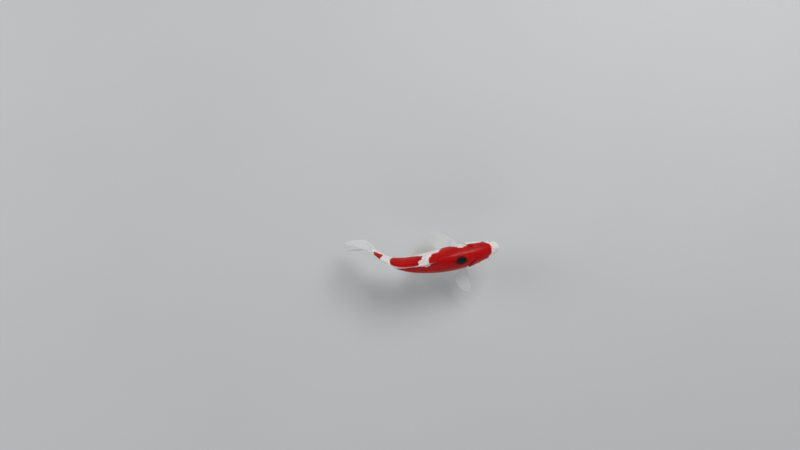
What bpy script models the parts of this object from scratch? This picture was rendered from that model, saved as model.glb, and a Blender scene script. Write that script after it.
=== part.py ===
"""Koi carp: a life-size still model, held over the floor by a plain display stand.

The fish swims towards -Y with +X on its left and +Z up. Its body is bent towards its left, and behind the
middle it rolls a little towards its right, as in a turn. Lengths are in metres. A station is a distance from
the snout as a fraction of LENGTH: 0 is the snout, 1 the root of the tail fin. Each cross-section is measured
from the spine, a smooth line in the level plane at SPINE_HEIGHT.
"""

import math

import bmesh
import bpy
import numpy as np
from mathutils import Vector

# Driving dimensions
LENGTH = 0.300  # snout to the root of the tail fin
SPINE_HEIGHT = 0.115  # over the floor
GAP = 0.0003  # between pieces that touch
SIDES = 28  # of each ring of the body
SNOUT_RINGS = (12, 24, 38, 52, 66, 80)  # degrees round the snout's curve
FIRST_RING, RING_STEP = 0.055, 0.0245  # stations of the rings behind it

# Heading of the spine, going tailwards: (station, degrees from +Y towards +X)
BEND = (
    (0.00, -15.0), (0.25, -14.5), (0.45, -11.0), (0.60, -6.5), (0.72, 1.0),
    (0.84, 16.5), (0.93, 32.0), (1.00, 33.0), (1.05, 11.0), (1.10, -5.0), (1.25, -10.0),
)

# How far the back leans to the fish's right: (station, degrees)
ROLL = (
    (0.00, 0.0), (0.52, 0.0), (0.61, 3.0), (0.69, 9.0), (0.77, 16.0), (0.86, 19.0), (1.00, 18.0), (1.25, 12.0),
)

# Outline of the body: (station, fraction of LENGTH)
HALF_WIDTH = (
    (0.000, 0.036), (0.040, 0.045), (0.090, 0.062), (0.160, 0.080), (0.240, 0.091), (0.330, 0.096),
    (0.400, 0.096), (0.480, 0.091), (0.560, 0.082), (0.650, 0.068), (0.740, 0.051), (0.830, 0.034),
    (0.910, 0.020), (0.970, 0.012), (1.000, 0.009), (1.030, 0.004),
)
BACK = (
    (0.000, 0.026), (0.040, 0.050), (0.110, 0.084), (0.180, 0.109), (0.250, 0.129), (0.330, 0.145),
    (0.420, 0.153), (0.500, 0.150), (0.620, 0.131), (0.750, 0.099), (0.850, 0.073), (0.930, 0.059),
    (0.980, 0.057), (1.010, 0.054), (1.030, 0.046),
)
BELLY = (
    (0.000, -0.046), (0.040, -0.064), (0.110, -0.089), (0.180, -0.108), (0.250, -0.122), (0.330, -0.132),
    (0.420, -0.136), (0.500, -0.132), (0.620, -0.113), (0.750, -0.083), (0.850, -0.064), (0.930, -0.055),
    (0.980, -0.054), (1.010, -0.052), (1.030, -0.044),
)
WIDEST = (
    (0.000, -0.016), (0.110, -0.010), (0.250, -0.012), (0.450, -0.004), (0.700, 0.002), (1.030, 0.001),
)
NOSE = 0.042  # the snout is rounded over this length
SQUARENESS = 2.25  # of the cross-section: 2 is an ellipse

# Where the body is parted
CUTS = (("head", 0.0, 0.262), ("trunk_front", 0.262, 0.430), ("trunk_middle", 0.430, 0.610),
        ("trunk_rear", 0.610, 0.800), ("tail_stalk", 0.800, 1.030))

# Head
HEAD_STATION = 0.05  # where the head's own directions are taken
EYE_STATION = 0.112
EYE_ANGLE = 27.0  # degrees above the side
EYE_RADIUS = 0.0054
EYE_PROUD = 0.0021  # the ball stands this far out of the skin
COVER_STATION, COVER_ANGLE = 0.199, -6.0
COVER_HALF_LENGTH = 0.054
COVER_HALF_HEIGHT = 52.0  # degrees
COVER_THICKNESS = 0.0022
COVER_PROUD = 0.0004
COVER_RINGS = (1.0, 0.72, 0.40)  # of the way from the middle to the rim
COVER_SPOKES = 24
CHEEK_DEGREES = 1000  # degrees round the cheek for each metre of its skin, about
JAW_BACK = 0.082
MOUTH_HEIGHT = -0.0200  # of LENGTH, at the snout
MOUTH_DROP = 14.0  # degrees that the mouth line falls towards its corner
MOUTH_START = 0.004  # in front of the snout, where the cut of the mouth begins
# Feelers: (name, station, angle of the left one, heading, length, radius). A heading is in tailward, outward
# and up parts.
BARBELS = (("front", 0.030, 14.0, (-0.35, 0.75, -0.45), 0.0075, 0.0009),
           ("rear", 0.060, -16.0, (0.30, 0.72, -0.50), 0.0140, 0.0012))
BARBEL_SAG = 0.30  # of its length
BARBEL_TAPER = 0.55  # of its radius
BARBEL_SINK = 0.0012  # how deep in the lip its root begins

# Fins
FIN_ROOT, FIN_EDGE = 0.0013, 0.0008  # thickness
FIN_DROOP = 0.003  # how far the tips of the paired fins bend downwards
PAIRED_SINK = 0.0022  # how deep in the flank their roots begin
PAIRED_ROOT = (0.92, -0.25, -0.30)  # the way a root runs, in tailward, outward and up parts
# Paired fins: length, foot (station, angle), root length, and lengths of the rays from first to last
PECTORAL_LENGTH = 0.235
PECTORAL_FOOT = (0.272, -44.0)
PECTORAL_ROOT = 0.012
PECTORAL_RAYS = ((0.0, 0.95), (0.15, 1.0), (0.4, 0.94), (0.7, 0.77), (1.0, 0.50))
PELVIC_LENGTH = 0.150
PELVIC_FOOT = (0.490, -66.0)
PELVIC_ROOT = 0.009
PELVIC_RAYS = ((0.0, 0.94), (0.2, 1.0), (0.6, 0.84), (1.0, 0.55))
# Headings of the first and last ray, in tailward, outward and up parts, and how far the tips bend tailwards
SWEPT_BACK = ((0.46, 0.84, -0.22), (0.94, 0.20, -0.30)), 0.014
HELD_OUT = ((-0.02, 0.96, -0.24), (0.54, 0.74, -0.36)), 0.003
TRAILING = ((0.80, 0.34, -0.50), (0.97, 0.03, -0.28)), 0.002
DORSAL = (0.465, 0.835)
DORSAL_SINK = 0.003  # how deep in the back its rays begin
DORSAL_LEAN = 6.0  # degrees that the fin leans to the fish's right, from its own middle plane
DORSAL_HEIGHTS = ((0.0, 0.138), (0.06, 0.144), (0.22, 0.112), (0.45, 0.084), (0.8, 0.072), (1.0, 0.074))
DORSAL_SWEEPS = ((0.0, 52.0), (0.3, 57.0), (1.0, 66.0))  # degrees that the rays slope tailwards
ANAL = (0.745, 0.818)
ANAL_SINK = 0.002
ANAL_LENGTHS = ((0.0, 0.124), (0.12, 0.132), (0.45, 0.108), (1.0, 0.072))
ANAL_SWEEPS = (50.0, 68.0)
TAIL_ROOT = 0.992
TAIL_ROOT_HEIGHT = 0.051  # of LENGTH, above and below the spine
TAIL_SPAN = 0.132  # of LENGTH, from the spine to the tip of a lobe, along its curve
TAIL_LENGTH = 0.238
TAIL_FLARE = 0.062  # the lobes open quickly over this length and little beyond it
# Lengths of the tail's rays, of TAIL_LENGTH, from the fork to the tip of a lobe
TAIL_LENGTHS = ((0.0, 0.53), (0.35, 0.63), (0.7, 0.84), (0.9, 1.0), (1.0, 0.93))
TAIL_CURL = (("upper", 1, 20.0), ("lower", -1, 24.0))  # degrees that each lobe curls to the fish's left
LOBE_GAP = 0.0008  # between the lobes, which lie at different slants where they meet

# Stand
BASE_SIZE = (0.042, 0.128, 0.012)
BASE_CORNER = 0.014
BASE_RIM = 0.0015
ROD_RADIUS = 0.003
ROD_STATIONS = (("front", 0.335), ("rear", 0.605))


def smooth(points, at):
    """Reads a smooth curve through a few points, at one place or at many."""
    x, y = np.array(points, float).T
    slope = np.gradient(y, x)
    at = np.clip(at, x[0], x[-1])
    i = np.clip(np.searchsorted(x, at) - 1, 0, len(x) - 2)
    step = x[i + 1] - x[i]
    t = (at - x[i]) / step
    rise = t * t * (3 - 2 * t)
    return (
        (1 - rise) * y[i]
        + rise * y[i + 1]
        + step * (t * (1 - t) ** 2 * slope[i] - t * t * (1 - t) * slope[i + 1])
    )


SPINE_STATIONS = np.linspace(0, 1.3, 521)
SPINE_TURNS = np.radians(smooth(BEND, SPINE_STATIONS))
SPINE_STEP = LENGTH * SPINE_STATIONS[1]
SPINE_X = np.cumsum(np.sin(SPINE_TURNS)) * SPINE_STEP
SPINE_Y = np.cumsum(np.cos(SPINE_TURNS)) * SPINE_STEP


def directions(station):
    """The tailward, left and up directions of the body at a station."""
    turn = np.interp(station, SPINE_STATIONS, SPINE_TURNS)
    roll = math.radians(smooth(ROLL, station))
    tailward = Vector((math.sin(turn), math.cos(turn), 0))
    level = Vector((math.cos(turn), -math.sin(turn), 0))
    upright = Vector((0, 0, 1))
    left = level * math.cos(roll) + upright * math.sin(roll)
    up = upright * math.cos(roll) - level * math.sin(roll)
    return tailward, left, up


def place(station, left, up):
    """The point at a station, so far left of the spine and so far above it."""
    x = np.interp(station, SPINE_STATIONS, SPINE_X)
    y = np.interp(station, SPINE_STATIONS, SPINE_Y)
    _, leftward, upward = directions(station)
    return Vector((x, y, SPINE_HEIGHT)) + leftward * float(left) + upward * float(up)


def skin_point(station, angle, grow=0.0):
    """The point of the skin at an angle round the body: 0 is its left side, 90 degrees its back."""
    nose = math.sqrt(1 - (1 - min(station / NOSE, 1)) ** 2)
    cosine, sine = math.cos(math.radians(angle)), math.sin(math.radians(angle))
    widest = float(smooth(WIDEST, station)) * LENGTH
    reach = float(smooth(BACK if sine > 0 else BELLY, station)) * LENGTH - widest
    power = 2 / SQUARENESS
    left = (float(smooth(HALF_WIDTH, station)) * LENGTH * nose + grow) * abs(cosine) ** power
    up = (abs(reach) * nose + grow) * abs(sine) ** power
    return place(station, math.copysign(left, cosine), widest + math.copysign(up, sine))


def skin_normal(station, angle):
    """The outward direction of the skin."""
    along = skin_point(station + 0.004, angle) - skin_point(station - 0.004, angle)
    around = skin_point(station, angle + 2) - skin_point(station, angle - 2)
    return along.cross(around).normalized()


def paint(name, colour, roughness=0.35, metallic=0.0):
    """A plain material."""
    material = bpy.data.materials.new(name)
    material.use_nodes = True
    shader = material.node_tree.nodes["Principled BSDF"]
    shader.inputs["Base Color"].default_value = (*colour, 1)
    shader.inputs["Roughness"].default_value = roughness
    shader.inputs["Metallic"].default_value = metallic
    return material


def add_object(name, mesh, material):
    """Turns a bmesh into an object with outward faces and smooth shading."""
    bmesh.ops.recalc_face_normals(mesh, faces=mesh.faces)
    data = bpy.data.meshes.new(name)
    mesh.to_mesh(data)
    mesh.free()
    data.materials.append(material)
    data.shade_smooth()
    data.set_sharp_from_angle(angle=math.radians(40))
    made = bpy.data.objects.new(name, data)
    bpy.context.collection.objects.link(made)
    return made


def as_cutter(made):
    made.hide_render = True
    made.display_type = "WIRE"
    return made


def boolean(target, operation, other):
    modifier = target.modifiers.new(other.name, "BOOLEAN")
    modifier.operation = operation
    modifier.object = other
    modifier.solver = "EXACT"


def closed_grid(name, front, back, material):
    """A slab between two matching grids of points, closed round its rim."""
    mesh = bmesh.new()
    sheets = [[[mesh.verts.new(point) for point in row] for row in sheet] for sheet in (front, back)]
    rows, columns = len(front), len(front[0])
    for sheet in sheets:
        for i in range(rows - 1):
            for j in range(columns - 1):
                mesh.faces.new((sheet[i][j], sheet[i + 1][j], sheet[i + 1][j + 1], sheet[i][j + 1]))
    rim = [(i, 0) for i in range(rows)] + [(rows - 1, j) for j in range(1, columns)]
    rim += [(i, columns - 1) for i in range(rows - 2, -1, -1)] + [(0, j) for j in range(columns - 2, 0, -1)]
    for (i, j), (k, m) in zip(rim, rim[1:] + rim[:1]):
        mesh.faces.new((sheets[0][i][j], sheets[0][k][m], sheets[1][k][m], sheets[1][i][j]))
    return add_object(name, mesh, material)


def loft(name, stations, material, grow=0.0):
    """A length of the body, through a ring at each station, with flat ends."""
    mesh = bmesh.new()
    angles = [360 * i / SIDES for i in range(SIDES)]
    rings = [[mesh.verts.new(skin_point(s, angle, grow)) for angle in angles] for s in stations]
    for one, other in zip(rings, rings[1:]):
        for i in range(SIDES):
            mesh.faces.new((one[i - 1], one[i], other[i], other[i - 1]))
    mesh.faces.new(rings[0])
    mesh.faces.new(rings[-1])
    return add_object(name, mesh, material)


def body_stations(first, last):
    """Stations for the rings: close together round the snout, and even behind it."""
    snout = [NOSE * (1 - math.cos(math.radians(turn))) for turn in SNOUT_RINGS]
    even = [FIRST_RING + RING_STEP * i for i in range(int(1 / RING_STEP) + 1)]
    apart = RING_STEP / 4
    inner = [s for s in snout + even if first + apart < s < last - apart]
    return [max(first, snout[0])] + [s for s in inner if s > snout[0]] + [last]


def make_lengths(skins):
    """The head, the trunk and the tail stalk, parted by thin cuts."""
    half_cut = GAP / 2 / LENGTH
    made = {}
    for name, first, last in CUTS:
        start = first + half_cut if first else 0.0
        end = last - half_cut if last < CUTS[-1][2] else last
        made[name] = loft(name, body_stations(start, end), skins[name])
    return made


def box_cutter(name, corner, size, tilt):
    """A box in the head's own directions; corner is its top edge at the snout, and it hangs from that edge."""
    tailward, left, up = directions(HEAD_STATION)
    along = tailward * math.cos(tilt) - up * math.sin(tilt)
    down = -up * math.cos(tilt) - tailward * math.sin(tilt)
    mesh = bmesh.new()
    length, width, depth = size
    corners = [
        mesh.verts.new(corner + along * a * length + left * b * width / 2 + down * c * depth)
        for a in (0, 1) for b in (-1, 1) for c in (0, 1)
    ]
    for face in ((0, 1, 3, 2), (4, 5, 7, 6), (0, 1, 5, 4), (2, 3, 7, 6), (0, 2, 6, 4), (1, 3, 7, 5)):
        mesh.faces.new([corners[i] for i in face])
    return as_cutter(add_object(name, mesh, bpy.data.materials["white skin"]))


def make_jaw(head, skins):
    """The lower jaw: what lies under the slanting line of the mouth, up to a cut behind its corner."""
    tailward, _, up = directions(HEAD_STATION)
    tilt = math.radians(MOUTH_DROP)
    corner = place(0, 0, MOUTH_HEIGHT * LENGTH) + (up * math.tan(tilt) - tailward) * MOUTH_START
    length = JAW_BACK * LENGTH + MOUTH_START
    jaw = loft("lower_jaw", body_stations(0.0, 0.2), skins["lower_jaw"])
    boolean(jaw, "INTERSECT", box_cutter("jaw_shape", corner, (length, 0.08, 0.06), tilt))
    grown = box_cutter("jaw_room", corner + up * GAP, (length + GAP, 0.09, 0.07), tilt)
    boolean(head, "DIFFERENCE", grown)


def cover_grid(side, margin, depth):
    """Points over a rounded patch of the cheek, as rows of a disk: blunt in front and longer behind."""
    rows = []
    for turn in [2 * math.pi * i / COVER_SPOKES for i in range(COVER_SPOKES)]:
        row = []
        for reach in COVER_RINGS:
            ahead, height = math.cos(turn) * reach, math.sin(turn) * reach
            station = COVER_STATION + (COVER_HALF_LENGTH + margin / LENGTH) * ahead
            angle = COVER_ANGLE + (COVER_HALF_HEIGHT + margin * CHEEK_DEGREES) * height
            row.append(skin_point(station, angle if side > 0 else 180 - angle, depth))
        rows.append(row)
    return rows


def cover_solid(name, side, margin, outer, inner, material):
    """A curved plate over that patch."""
    mesh = bmesh.new()
    centre_angle = COVER_ANGLE if side > 0 else 180 - COVER_ANGLE
    sheets = []
    for depth in (outer, inner):
        grid = [[mesh.verts.new(point) for point in row] for row in cover_grid(side, margin, depth)]
        middle = mesh.verts.new(skin_point(COVER_STATION, centre_angle, depth))
        for one, other in zip(grid, grid[1:] + grid[:1]):
            mesh.faces.new((one[0], one[1], other[1], other[0]))
            mesh.faces.new((one[1], one[2], other[2], other[1]))
            mesh.faces.new((one[2], middle, other[2]))
        sheets.append(grid)
    count = len(sheets[0])
    for i in range(count):
        mesh.faces.new((sheets[0][i - 1][0], sheets[0][i][0], sheets[1][i][0], sheets[1][i - 1][0]))
    return add_object(name, mesh, material)


def make_gill_covers(head, skins):
    for side, word in ((1, "left"), (-1, "right")):
        cover_solid("gill_cover_" + word, side, 0.0, COVER_PROUD, -COVER_THICKNESS, skins["gill_cover"])
        clear = 10 * COVER_PROUD  # the cut for it reaches well out of the skin
        room = cover_solid("cover_room_" + word, side, GAP, clear, -COVER_THICKNESS - GAP, skins["head"])
        boolean(head, "DIFFERENCE", as_cutter(room))


def ball(name, centre, radius, material, segments=20):
    mesh = bmesh.new()
    bmesh.ops.create_uvsphere(mesh, u_segments=segments, v_segments=segments // 2, radius=radius)
    bmesh.ops.translate(mesh, verts=mesh.verts, vec=centre)
    return add_object(name, mesh, material)


def make_eyes(head, skins):
    """Each eye is a ball sunk in a socket that is cut in the head."""
    for side, word in ((1, "left"), (-1, "right")):
        angle = EYE_ANGLE if side > 0 else 180 - EYE_ANGLE
        outward = skin_normal(EYE_STATION, angle)
        centre = skin_point(EYE_STATION, angle) - outward * (EYE_RADIUS - EYE_PROUD)
        ball("eye_" + word, centre, EYE_RADIUS, skins["eye"])
        socket = ball("socket_" + word, centre, EYE_RADIUS + 1.6 * GAP, skins["head"], 24)
        boolean(head, "DIFFERENCE", as_cutter(socket))


def make_barbel(name, station, angle, heading, length, radius, material, envelope):
    """A soft feeler: a tapering tube that leaves the lip along heading and hangs towards its tip."""
    start = skin_point(station, angle) - skin_normal(station, angle) * BARBEL_SINK
    tip = start + heading * length
    sag = Vector((0, 0, -BARBEL_SAG * length))
    side = heading.cross(Vector((0, 0, 1))).normalized()
    across = side.cross(heading).normalized()
    spokes = [side * math.cos(math.radians(45 * i)) + across * math.sin(math.radians(45 * i)) for i in range(8)]
    mesh = bmesh.new()
    rings = []
    for t in (0.0, 0.2, 0.4, 0.6, 0.8, 1.0):
        centre = start.lerp(tip, t) + sag * t * t
        thick = radius * (1 - BARBEL_TAPER * t)
        rings.append([mesh.verts.new(centre + spoke * thick) for spoke in spokes])
    for one, other in zip(rings, rings[1:]):
        for i in range(8):
            mesh.faces.new((one[i - 1], one[i], other[i], other[i - 1]))
    mesh.faces.new(rings[0])
    mesh.faces.new(rings[-1])
    boolean(add_object(name, mesh, material), "DIFFERENCE", envelope)


def towards(parts, tailward, outward, up):
    """The direction that has these tailward, outward and up parts."""
    return (tailward * parts[0] + outward * parts[1] + up * parts[2]).normalized()


def make_barbels(skins, envelope):
    """A short pair on the upper lip and a longer pair at the corners of the mouth."""
    tailward, left, up = directions(HEAD_STATION)
    for side, word in ((1, "left"), (-1, "right")):
        for pair, station, angle, parts, length, radius in BARBELS:
            turned = angle if side > 0 else 180 - angle
            heading = towards(parts, tailward, left * side, up)
            name = f"barbel_{pair}_{word}"
            make_barbel(name, station, turned, heading, length, radius, skins["barbel"], envelope)


def fin_solid(name, root, ray, rays, steps, material, envelope):
    """A thin curved fin. root(u) gives the foot of a ray and ray(u, v) the way along it, 0 to 1."""
    grid = []
    for i in range(rays):
        u = i / (rays - 1)
        grid.append([root(u) + ray(u, j / (steps - 1)) for j in range(steps)])
    front, back = [], []
    for i in range(rays):
        front.append([])
        back.append([])
        for j in range(steps):
            across = grid[min(i + 1, rays - 1)][j] - grid[max(i - 1, 0)][j]
            along = grid[i][min(j + 1, steps - 1)] - grid[i][max(j - 1, 0)]
            normal = across.cross(along).normalized()
            half = (FIN_ROOT + (FIN_EDGE - FIN_ROOT) * j / (steps - 1)) / 2
            front[i].append(grid[i][j] + normal * half)
            back[i].append(grid[i][j] - normal * half)
    made = closed_grid(name, front, back, material)
    boolean(made, "DIFFERENCE", envelope)
    return made


def make_dorsal(skins, envelope):
    """The long fin of the back: a high front, a hollow edge and a low rear, leaning to the fish's right."""
    lean = math.radians(DORSAL_LEAN)

    def root(u):
        station = DORSAL[0] + (DORSAL[1] - DORSAL[0]) * u
        return place(station, 0, float(smooth(BACK, station)) * LENGTH - DORSAL_SINK)

    def ray(u, v):
        tailward, left, up = directions(DORSAL[0] + (DORSAL[1] - DORSAL[0]) * u)
        sweep = math.radians(smooth(DORSAL_SWEEPS, u))
        reach = float(smooth(DORSAL_HEIGHTS, u)) * LENGTH * v
        upward = up * math.cos(lean) - left * math.sin(lean)
        return (tailward * math.sin(sweep) + upward * math.cos(sweep)) * reach

    fin_solid("dorsal_fin", root, ray, 20, 6, skins["fin"], envelope)


def make_anal(skins, envelope):
    """The fin behind the vent: short based, with a pointed front."""
    first_sweep, last_sweep = ANAL_SWEEPS

    def root(u):
        station = ANAL[0] + (ANAL[1] - ANAL[0]) * u
        return place(station, 0, float(smooth(BELLY, station)) * LENGTH + ANAL_SINK)

    def ray(u, v):
        tailward, _, up = directions(ANAL[0] + (ANAL[1] - ANAL[0]) * u)
        sweep = math.radians(first_sweep + (last_sweep - first_sweep) * u)
        return (tailward * math.sin(sweep) - up * math.cos(sweep)) * float(smooth(ANAL_LENGTHS, u)) * LENGTH * v

    fin_solid("anal_fin", root, ray, 10, 6, skins["fin"], envelope)


def make_tail(skins, envelope):
    """The forked tail fin: two lobes that meet in the fork, both curled towards the fish's left."""
    centre = place(TAIL_ROOT, 0, 0)

    def lobe_point(u, v, side, curl):
        ahead = float(smooth(TAIL_LENGTHS, u)) * TAIL_LENGTH * v
        opening = (1 - math.exp(-ahead / TAIL_FLARE)) / (1 - math.exp(-TAIL_LENGTH / TAIL_FLARE))
        height = TAIL_ROOT_HEIGHT * u + (TAIL_SPAN - TAIL_ROOT_HEIGHT) * u ** 1.1 * opening
        turn = math.radians(curl) * (0.5 + 0.5 * height / TAIL_SPAN) * min(1.0, 2.2 * v)
        up = side * (height * math.cos(turn) * LENGTH + LOBE_GAP / 2)
        return place(TAIL_ROOT + ahead, height * math.sin(turn) * LENGTH, up) - centre

    for word, side, curl in TAIL_CURL:
        fin_solid("tail_fin_" + word, lambda u: centre, lambda u, v, s=side, c=curl: lobe_point(u, v, s, c),
                  12, 8, skins["fin"], envelope)


def paired_fin(name, foot_at, side, pose, root_length, shape, rays, skins, envelope):
    """A fan of rays from a short root on the flank, in one of the poses above. foot_at is the root's station
    and angle on the left side; shape gives the length of each ray, in metres."""
    station, angle = foot_at
    headings, sweep = pose
    tailward, left, up = directions(station)
    out = left * side
    turned = angle if side > 0 else 180 - angle
    foot = skin_point(station, turned) - skin_normal(station, turned) * PAIRED_SINK
    lead, trail = [towards(parts, tailward, out, up) for parts in headings]
    spread = towards(PAIRED_ROOT, tailward, out, up)

    def root(u):
        return foot + spread * (u * root_length)

    def ray(u, v):
        heading = lead.lerp(trail, u).normalized()
        reach = float(smooth(shape, u)) * v
        bent = (reach / shape[0][1]) ** 2
        return heading * reach + (tailward * sweep - up * FIN_DROOP) * bent

    fin_solid(name, root, ray, rays, 6, skins["fin"], envelope)


def make_paired_fins(skins, envelope):
    """The pectorals, the left one swept back and the right one held straight out, and the pelvics."""
    shape = [(u, part * PECTORAL_LENGTH * LENGTH) for u, part in PECTORAL_RAYS]
    for word, side, pose in (("left", 1, SWEPT_BACK), ("right", -1, HELD_OUT)):
        name = "pectoral_fin_" + word
        paired_fin(name, PECTORAL_FOOT, side, pose, PECTORAL_ROOT, shape, 14, skins, envelope)
    shape = [(u, part * PELVIC_LENGTH * LENGTH) for u, part in PELVIC_RAYS]
    for word, side in (("left", 1), ("right", -1)):
        name = "pelvic_fin_" + word
        paired_fin(name, PELVIC_FOOT, side, TRAILING, PELVIC_ROOT, shape, 10, skins, envelope)


def make_stand(envelope):
    """A flat base and two rods, which end just under the belly."""
    steel = paint("satin steel", (0.55, 0.56, 0.57), 0.3, 1.0)
    wood = paint("base wood", (0.42, 0.28, 0.16), 0.4)
    feet = [place(station, 0, 0) for _, station in ROD_STATIONS]
    chord = feet[1] - feet[0]
    bottom = BASE_SIZE[2] + GAP
    height = SPINE_HEIGHT - 4 * ROD_RADIUS - bottom  # the rods start long, and the body cuts them back
    for (word, _), foot in zip(ROD_STATIONS, feet):
        mesh = bmesh.new()
        bmesh.ops.create_cone(mesh, cap_ends=True, segments=20, radius1=ROD_RADIUS, radius2=ROD_RADIUS,
                              depth=height)
        bmesh.ops.translate(mesh, verts=mesh.verts, vec=(foot.x, foot.y, bottom + height / 2))
        boolean(add_object("stand_rod_" + word, mesh, steel), "DIFFERENCE", envelope)
    mesh = bmesh.new()
    bmesh.ops.create_cube(mesh, size=1)
    bmesh.ops.scale(mesh, verts=mesh.verts, vec=BASE_SIZE)
    upright = [e for e in mesh.edges if abs(e.verts[0].co.z - e.verts[1].co.z) > BASE_SIZE[2] / 2]
    bmesh.ops.bevel(mesh, geom=upright, offset=BASE_CORNER, segments=6, profile=0.5, affect="EDGES")
    rim = [e for e in mesh.edges if min(v.co.z for v in e.verts) > BASE_SIZE[2] / 2 - 1e-6]
    bmesh.ops.bevel(mesh, geom=rim, offset=BASE_RIM, segments=2, profile=0.5, affect="EDGES")
    bmesh.ops.rotate(mesh, verts=mesh.verts, cent=(0, 0, 0), matrix=chord.to_track_quat("Y", "Z").to_matrix())
    middle = (feet[0] + feet[1]) / 2
    bmesh.ops.translate(mesh, verts=mesh.verts, vec=(middle.x, middle.y, BASE_SIZE[2] / 2))
    add_object("stand_base", mesh, wood)


def centre_on_floor():
    """Moves everything so that the middle of the whole model's box is over the origin."""
    bpy.context.view_layer.update()
    graph = bpy.context.evaluated_depsgraph_get()
    shown = [made for made in bpy.data.objects if not made.hide_render]
    points = np.array([corner for made in shown for corner in made.evaluated_get(graph).bound_box])
    middle = (points.min(axis=0) + points.max(axis=0)) / 2
    for made in bpy.data.objects:
        made.location = (-middle[0], -middle[1], 0)


def main():
    for old in list(bpy.data.objects):
        bpy.data.objects.remove(old, do_unlink=True)
    white = paint("white skin", (0.80, 0.78, 0.76))
    red = paint("red skin", (0.55, 0.015, 0.008))
    skins = {
        "head": red, "lower_jaw": white, "gill_cover": red, "trunk_front": red, "trunk_middle": white,
        "trunk_rear": red, "tail_stalk": white, "barbel": white,
        "fin": paint("fin membrane", (0.78, 0.80, 0.80)),
        "eye": paint("eye", (0.02, 0.02, 0.02), 0.05),
    }
    envelope = as_cutter(loft("envelope", body_stations(0.0, CUTS[-1][2]), white, GAP))
    lengths = make_lengths(skins)
    make_jaw(lengths["head"], skins)
    make_gill_covers(lengths["head"], skins)
    make_eyes(lengths["head"], skins)
    make_barbels(skins, envelope)
    make_dorsal(skins, envelope)
    make_anal(skins, envelope)
    make_tail(skins, envelope)
    make_paired_fins(skins, envelope)
    make_stand(envelope)
    centre_on_floor()


main()
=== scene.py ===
# %% [markdown]
# # A koi carp as a museum model
# The solids of the model are loaded first and stay where they are. Everything that shows is then made
# around them: one skin for the whole body, a coat of scales, rayed fins, two eyes and a plain stand. All
# lengths are in metres. The fish looks towards -Y, its left side is +X, and +Z is up.

# %% Load the solids
import math

import bpy
import numpy as np
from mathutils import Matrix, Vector


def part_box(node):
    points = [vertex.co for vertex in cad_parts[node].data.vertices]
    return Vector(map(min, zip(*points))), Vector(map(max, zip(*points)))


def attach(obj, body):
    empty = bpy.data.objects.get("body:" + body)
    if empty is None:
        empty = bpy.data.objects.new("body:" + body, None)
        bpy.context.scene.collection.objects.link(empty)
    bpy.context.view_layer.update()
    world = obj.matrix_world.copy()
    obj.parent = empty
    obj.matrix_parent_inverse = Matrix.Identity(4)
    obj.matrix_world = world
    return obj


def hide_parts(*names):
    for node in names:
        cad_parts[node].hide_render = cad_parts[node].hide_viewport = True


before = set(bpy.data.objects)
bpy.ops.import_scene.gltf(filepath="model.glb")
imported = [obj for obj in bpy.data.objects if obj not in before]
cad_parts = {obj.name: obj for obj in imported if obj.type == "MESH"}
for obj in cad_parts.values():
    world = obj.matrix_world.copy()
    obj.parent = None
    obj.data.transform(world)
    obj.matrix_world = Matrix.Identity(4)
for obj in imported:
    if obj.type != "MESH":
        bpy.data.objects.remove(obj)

for startup in ("Cube", "Light", "Camera"):
    if startup in bpy.data.objects:
        bpy.data.objects.remove(bpy.data.objects[startup])
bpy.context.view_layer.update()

# %% [markdown]
# ## The shape of the body
# A fish is easiest to think of as a row of cross-sections threaded on a spine. A station is a place along
# the spine: 0 is the snout and 1 the root of the tail fin. Smooth curves say how wide the body is there,
# how high its back and how low its belly are, and how high it is widest. One more says how far it leans
# over, for a fish that turns also rolls. An angle then goes round the section: 0 is the left side, 90 the
# back, 180 the right side and -90 or 270 the belly. Any point of the skin is a station and an angle, which
# makes it easy to lay features, scales and colours exactly where a real koi has them.

# %% Sizes of the body, as the solids have them
LENGTH = 0.300
SPINE_HEIGHT = 0.115
BEND = (
    (0.00, -15.0), (0.25, -14.5), (0.45, -11.0), (0.60, -6.5), (0.72, 1.0), (0.84, 16.5), (0.93, 32.0),
    (1.00, 33.0), (1.05, 11.0), (1.10, -5.0), (1.25, -10.0),
)
ROLL = (
    (0.00, 0.0), (0.52, 0.0), (0.61, 3.0), (0.69, 9.0), (0.77, 16.0), (0.86, 19.0), (1.00, 18.0),
    (1.25, 12.0),
)
HALF_WIDTH = (
    (0.000, 0.036), (0.040, 0.045), (0.090, 0.062), (0.160, 0.080), (0.240, 0.091), (0.330, 0.096),
    (0.400, 0.096), (0.480, 0.091), (0.560, 0.082), (0.650, 0.068), (0.740, 0.051), (0.830, 0.034),
    (0.910, 0.020), (0.970, 0.012), (1.000, 0.009), (1.030, 0.004),
)
BACK = (
    (0.000, 0.026), (0.040, 0.050), (0.110, 0.084), (0.180, 0.109), (0.250, 0.129), (0.330, 0.145),
    (0.420, 0.153), (0.500, 0.150), (0.620, 0.131), (0.750, 0.099), (0.850, 0.073), (0.930, 0.059),
    (0.980, 0.057), (1.010, 0.054), (1.030, 0.046),
)
BELLY = (
    (0.000, -0.046), (0.040, -0.064), (0.110, -0.089), (0.180, -0.108), (0.250, -0.122), (0.330, -0.132),
    (0.420, -0.136), (0.500, -0.132), (0.620, -0.113), (0.750, -0.083), (0.850, -0.064), (0.930, -0.055),
    (0.980, -0.054), (1.010, -0.052), (1.030, -0.044),
)
WIDEST = (
    (0.000, -0.016), (0.110, -0.010), (0.250, -0.012), (0.450, -0.004), (0.700, 0.002), (1.030, 0.001),
)
NOSE = 0.042
SQUARENESS = 2.25
LAST_STATION = 1.030
ROD_STATION = 0.335


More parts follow.
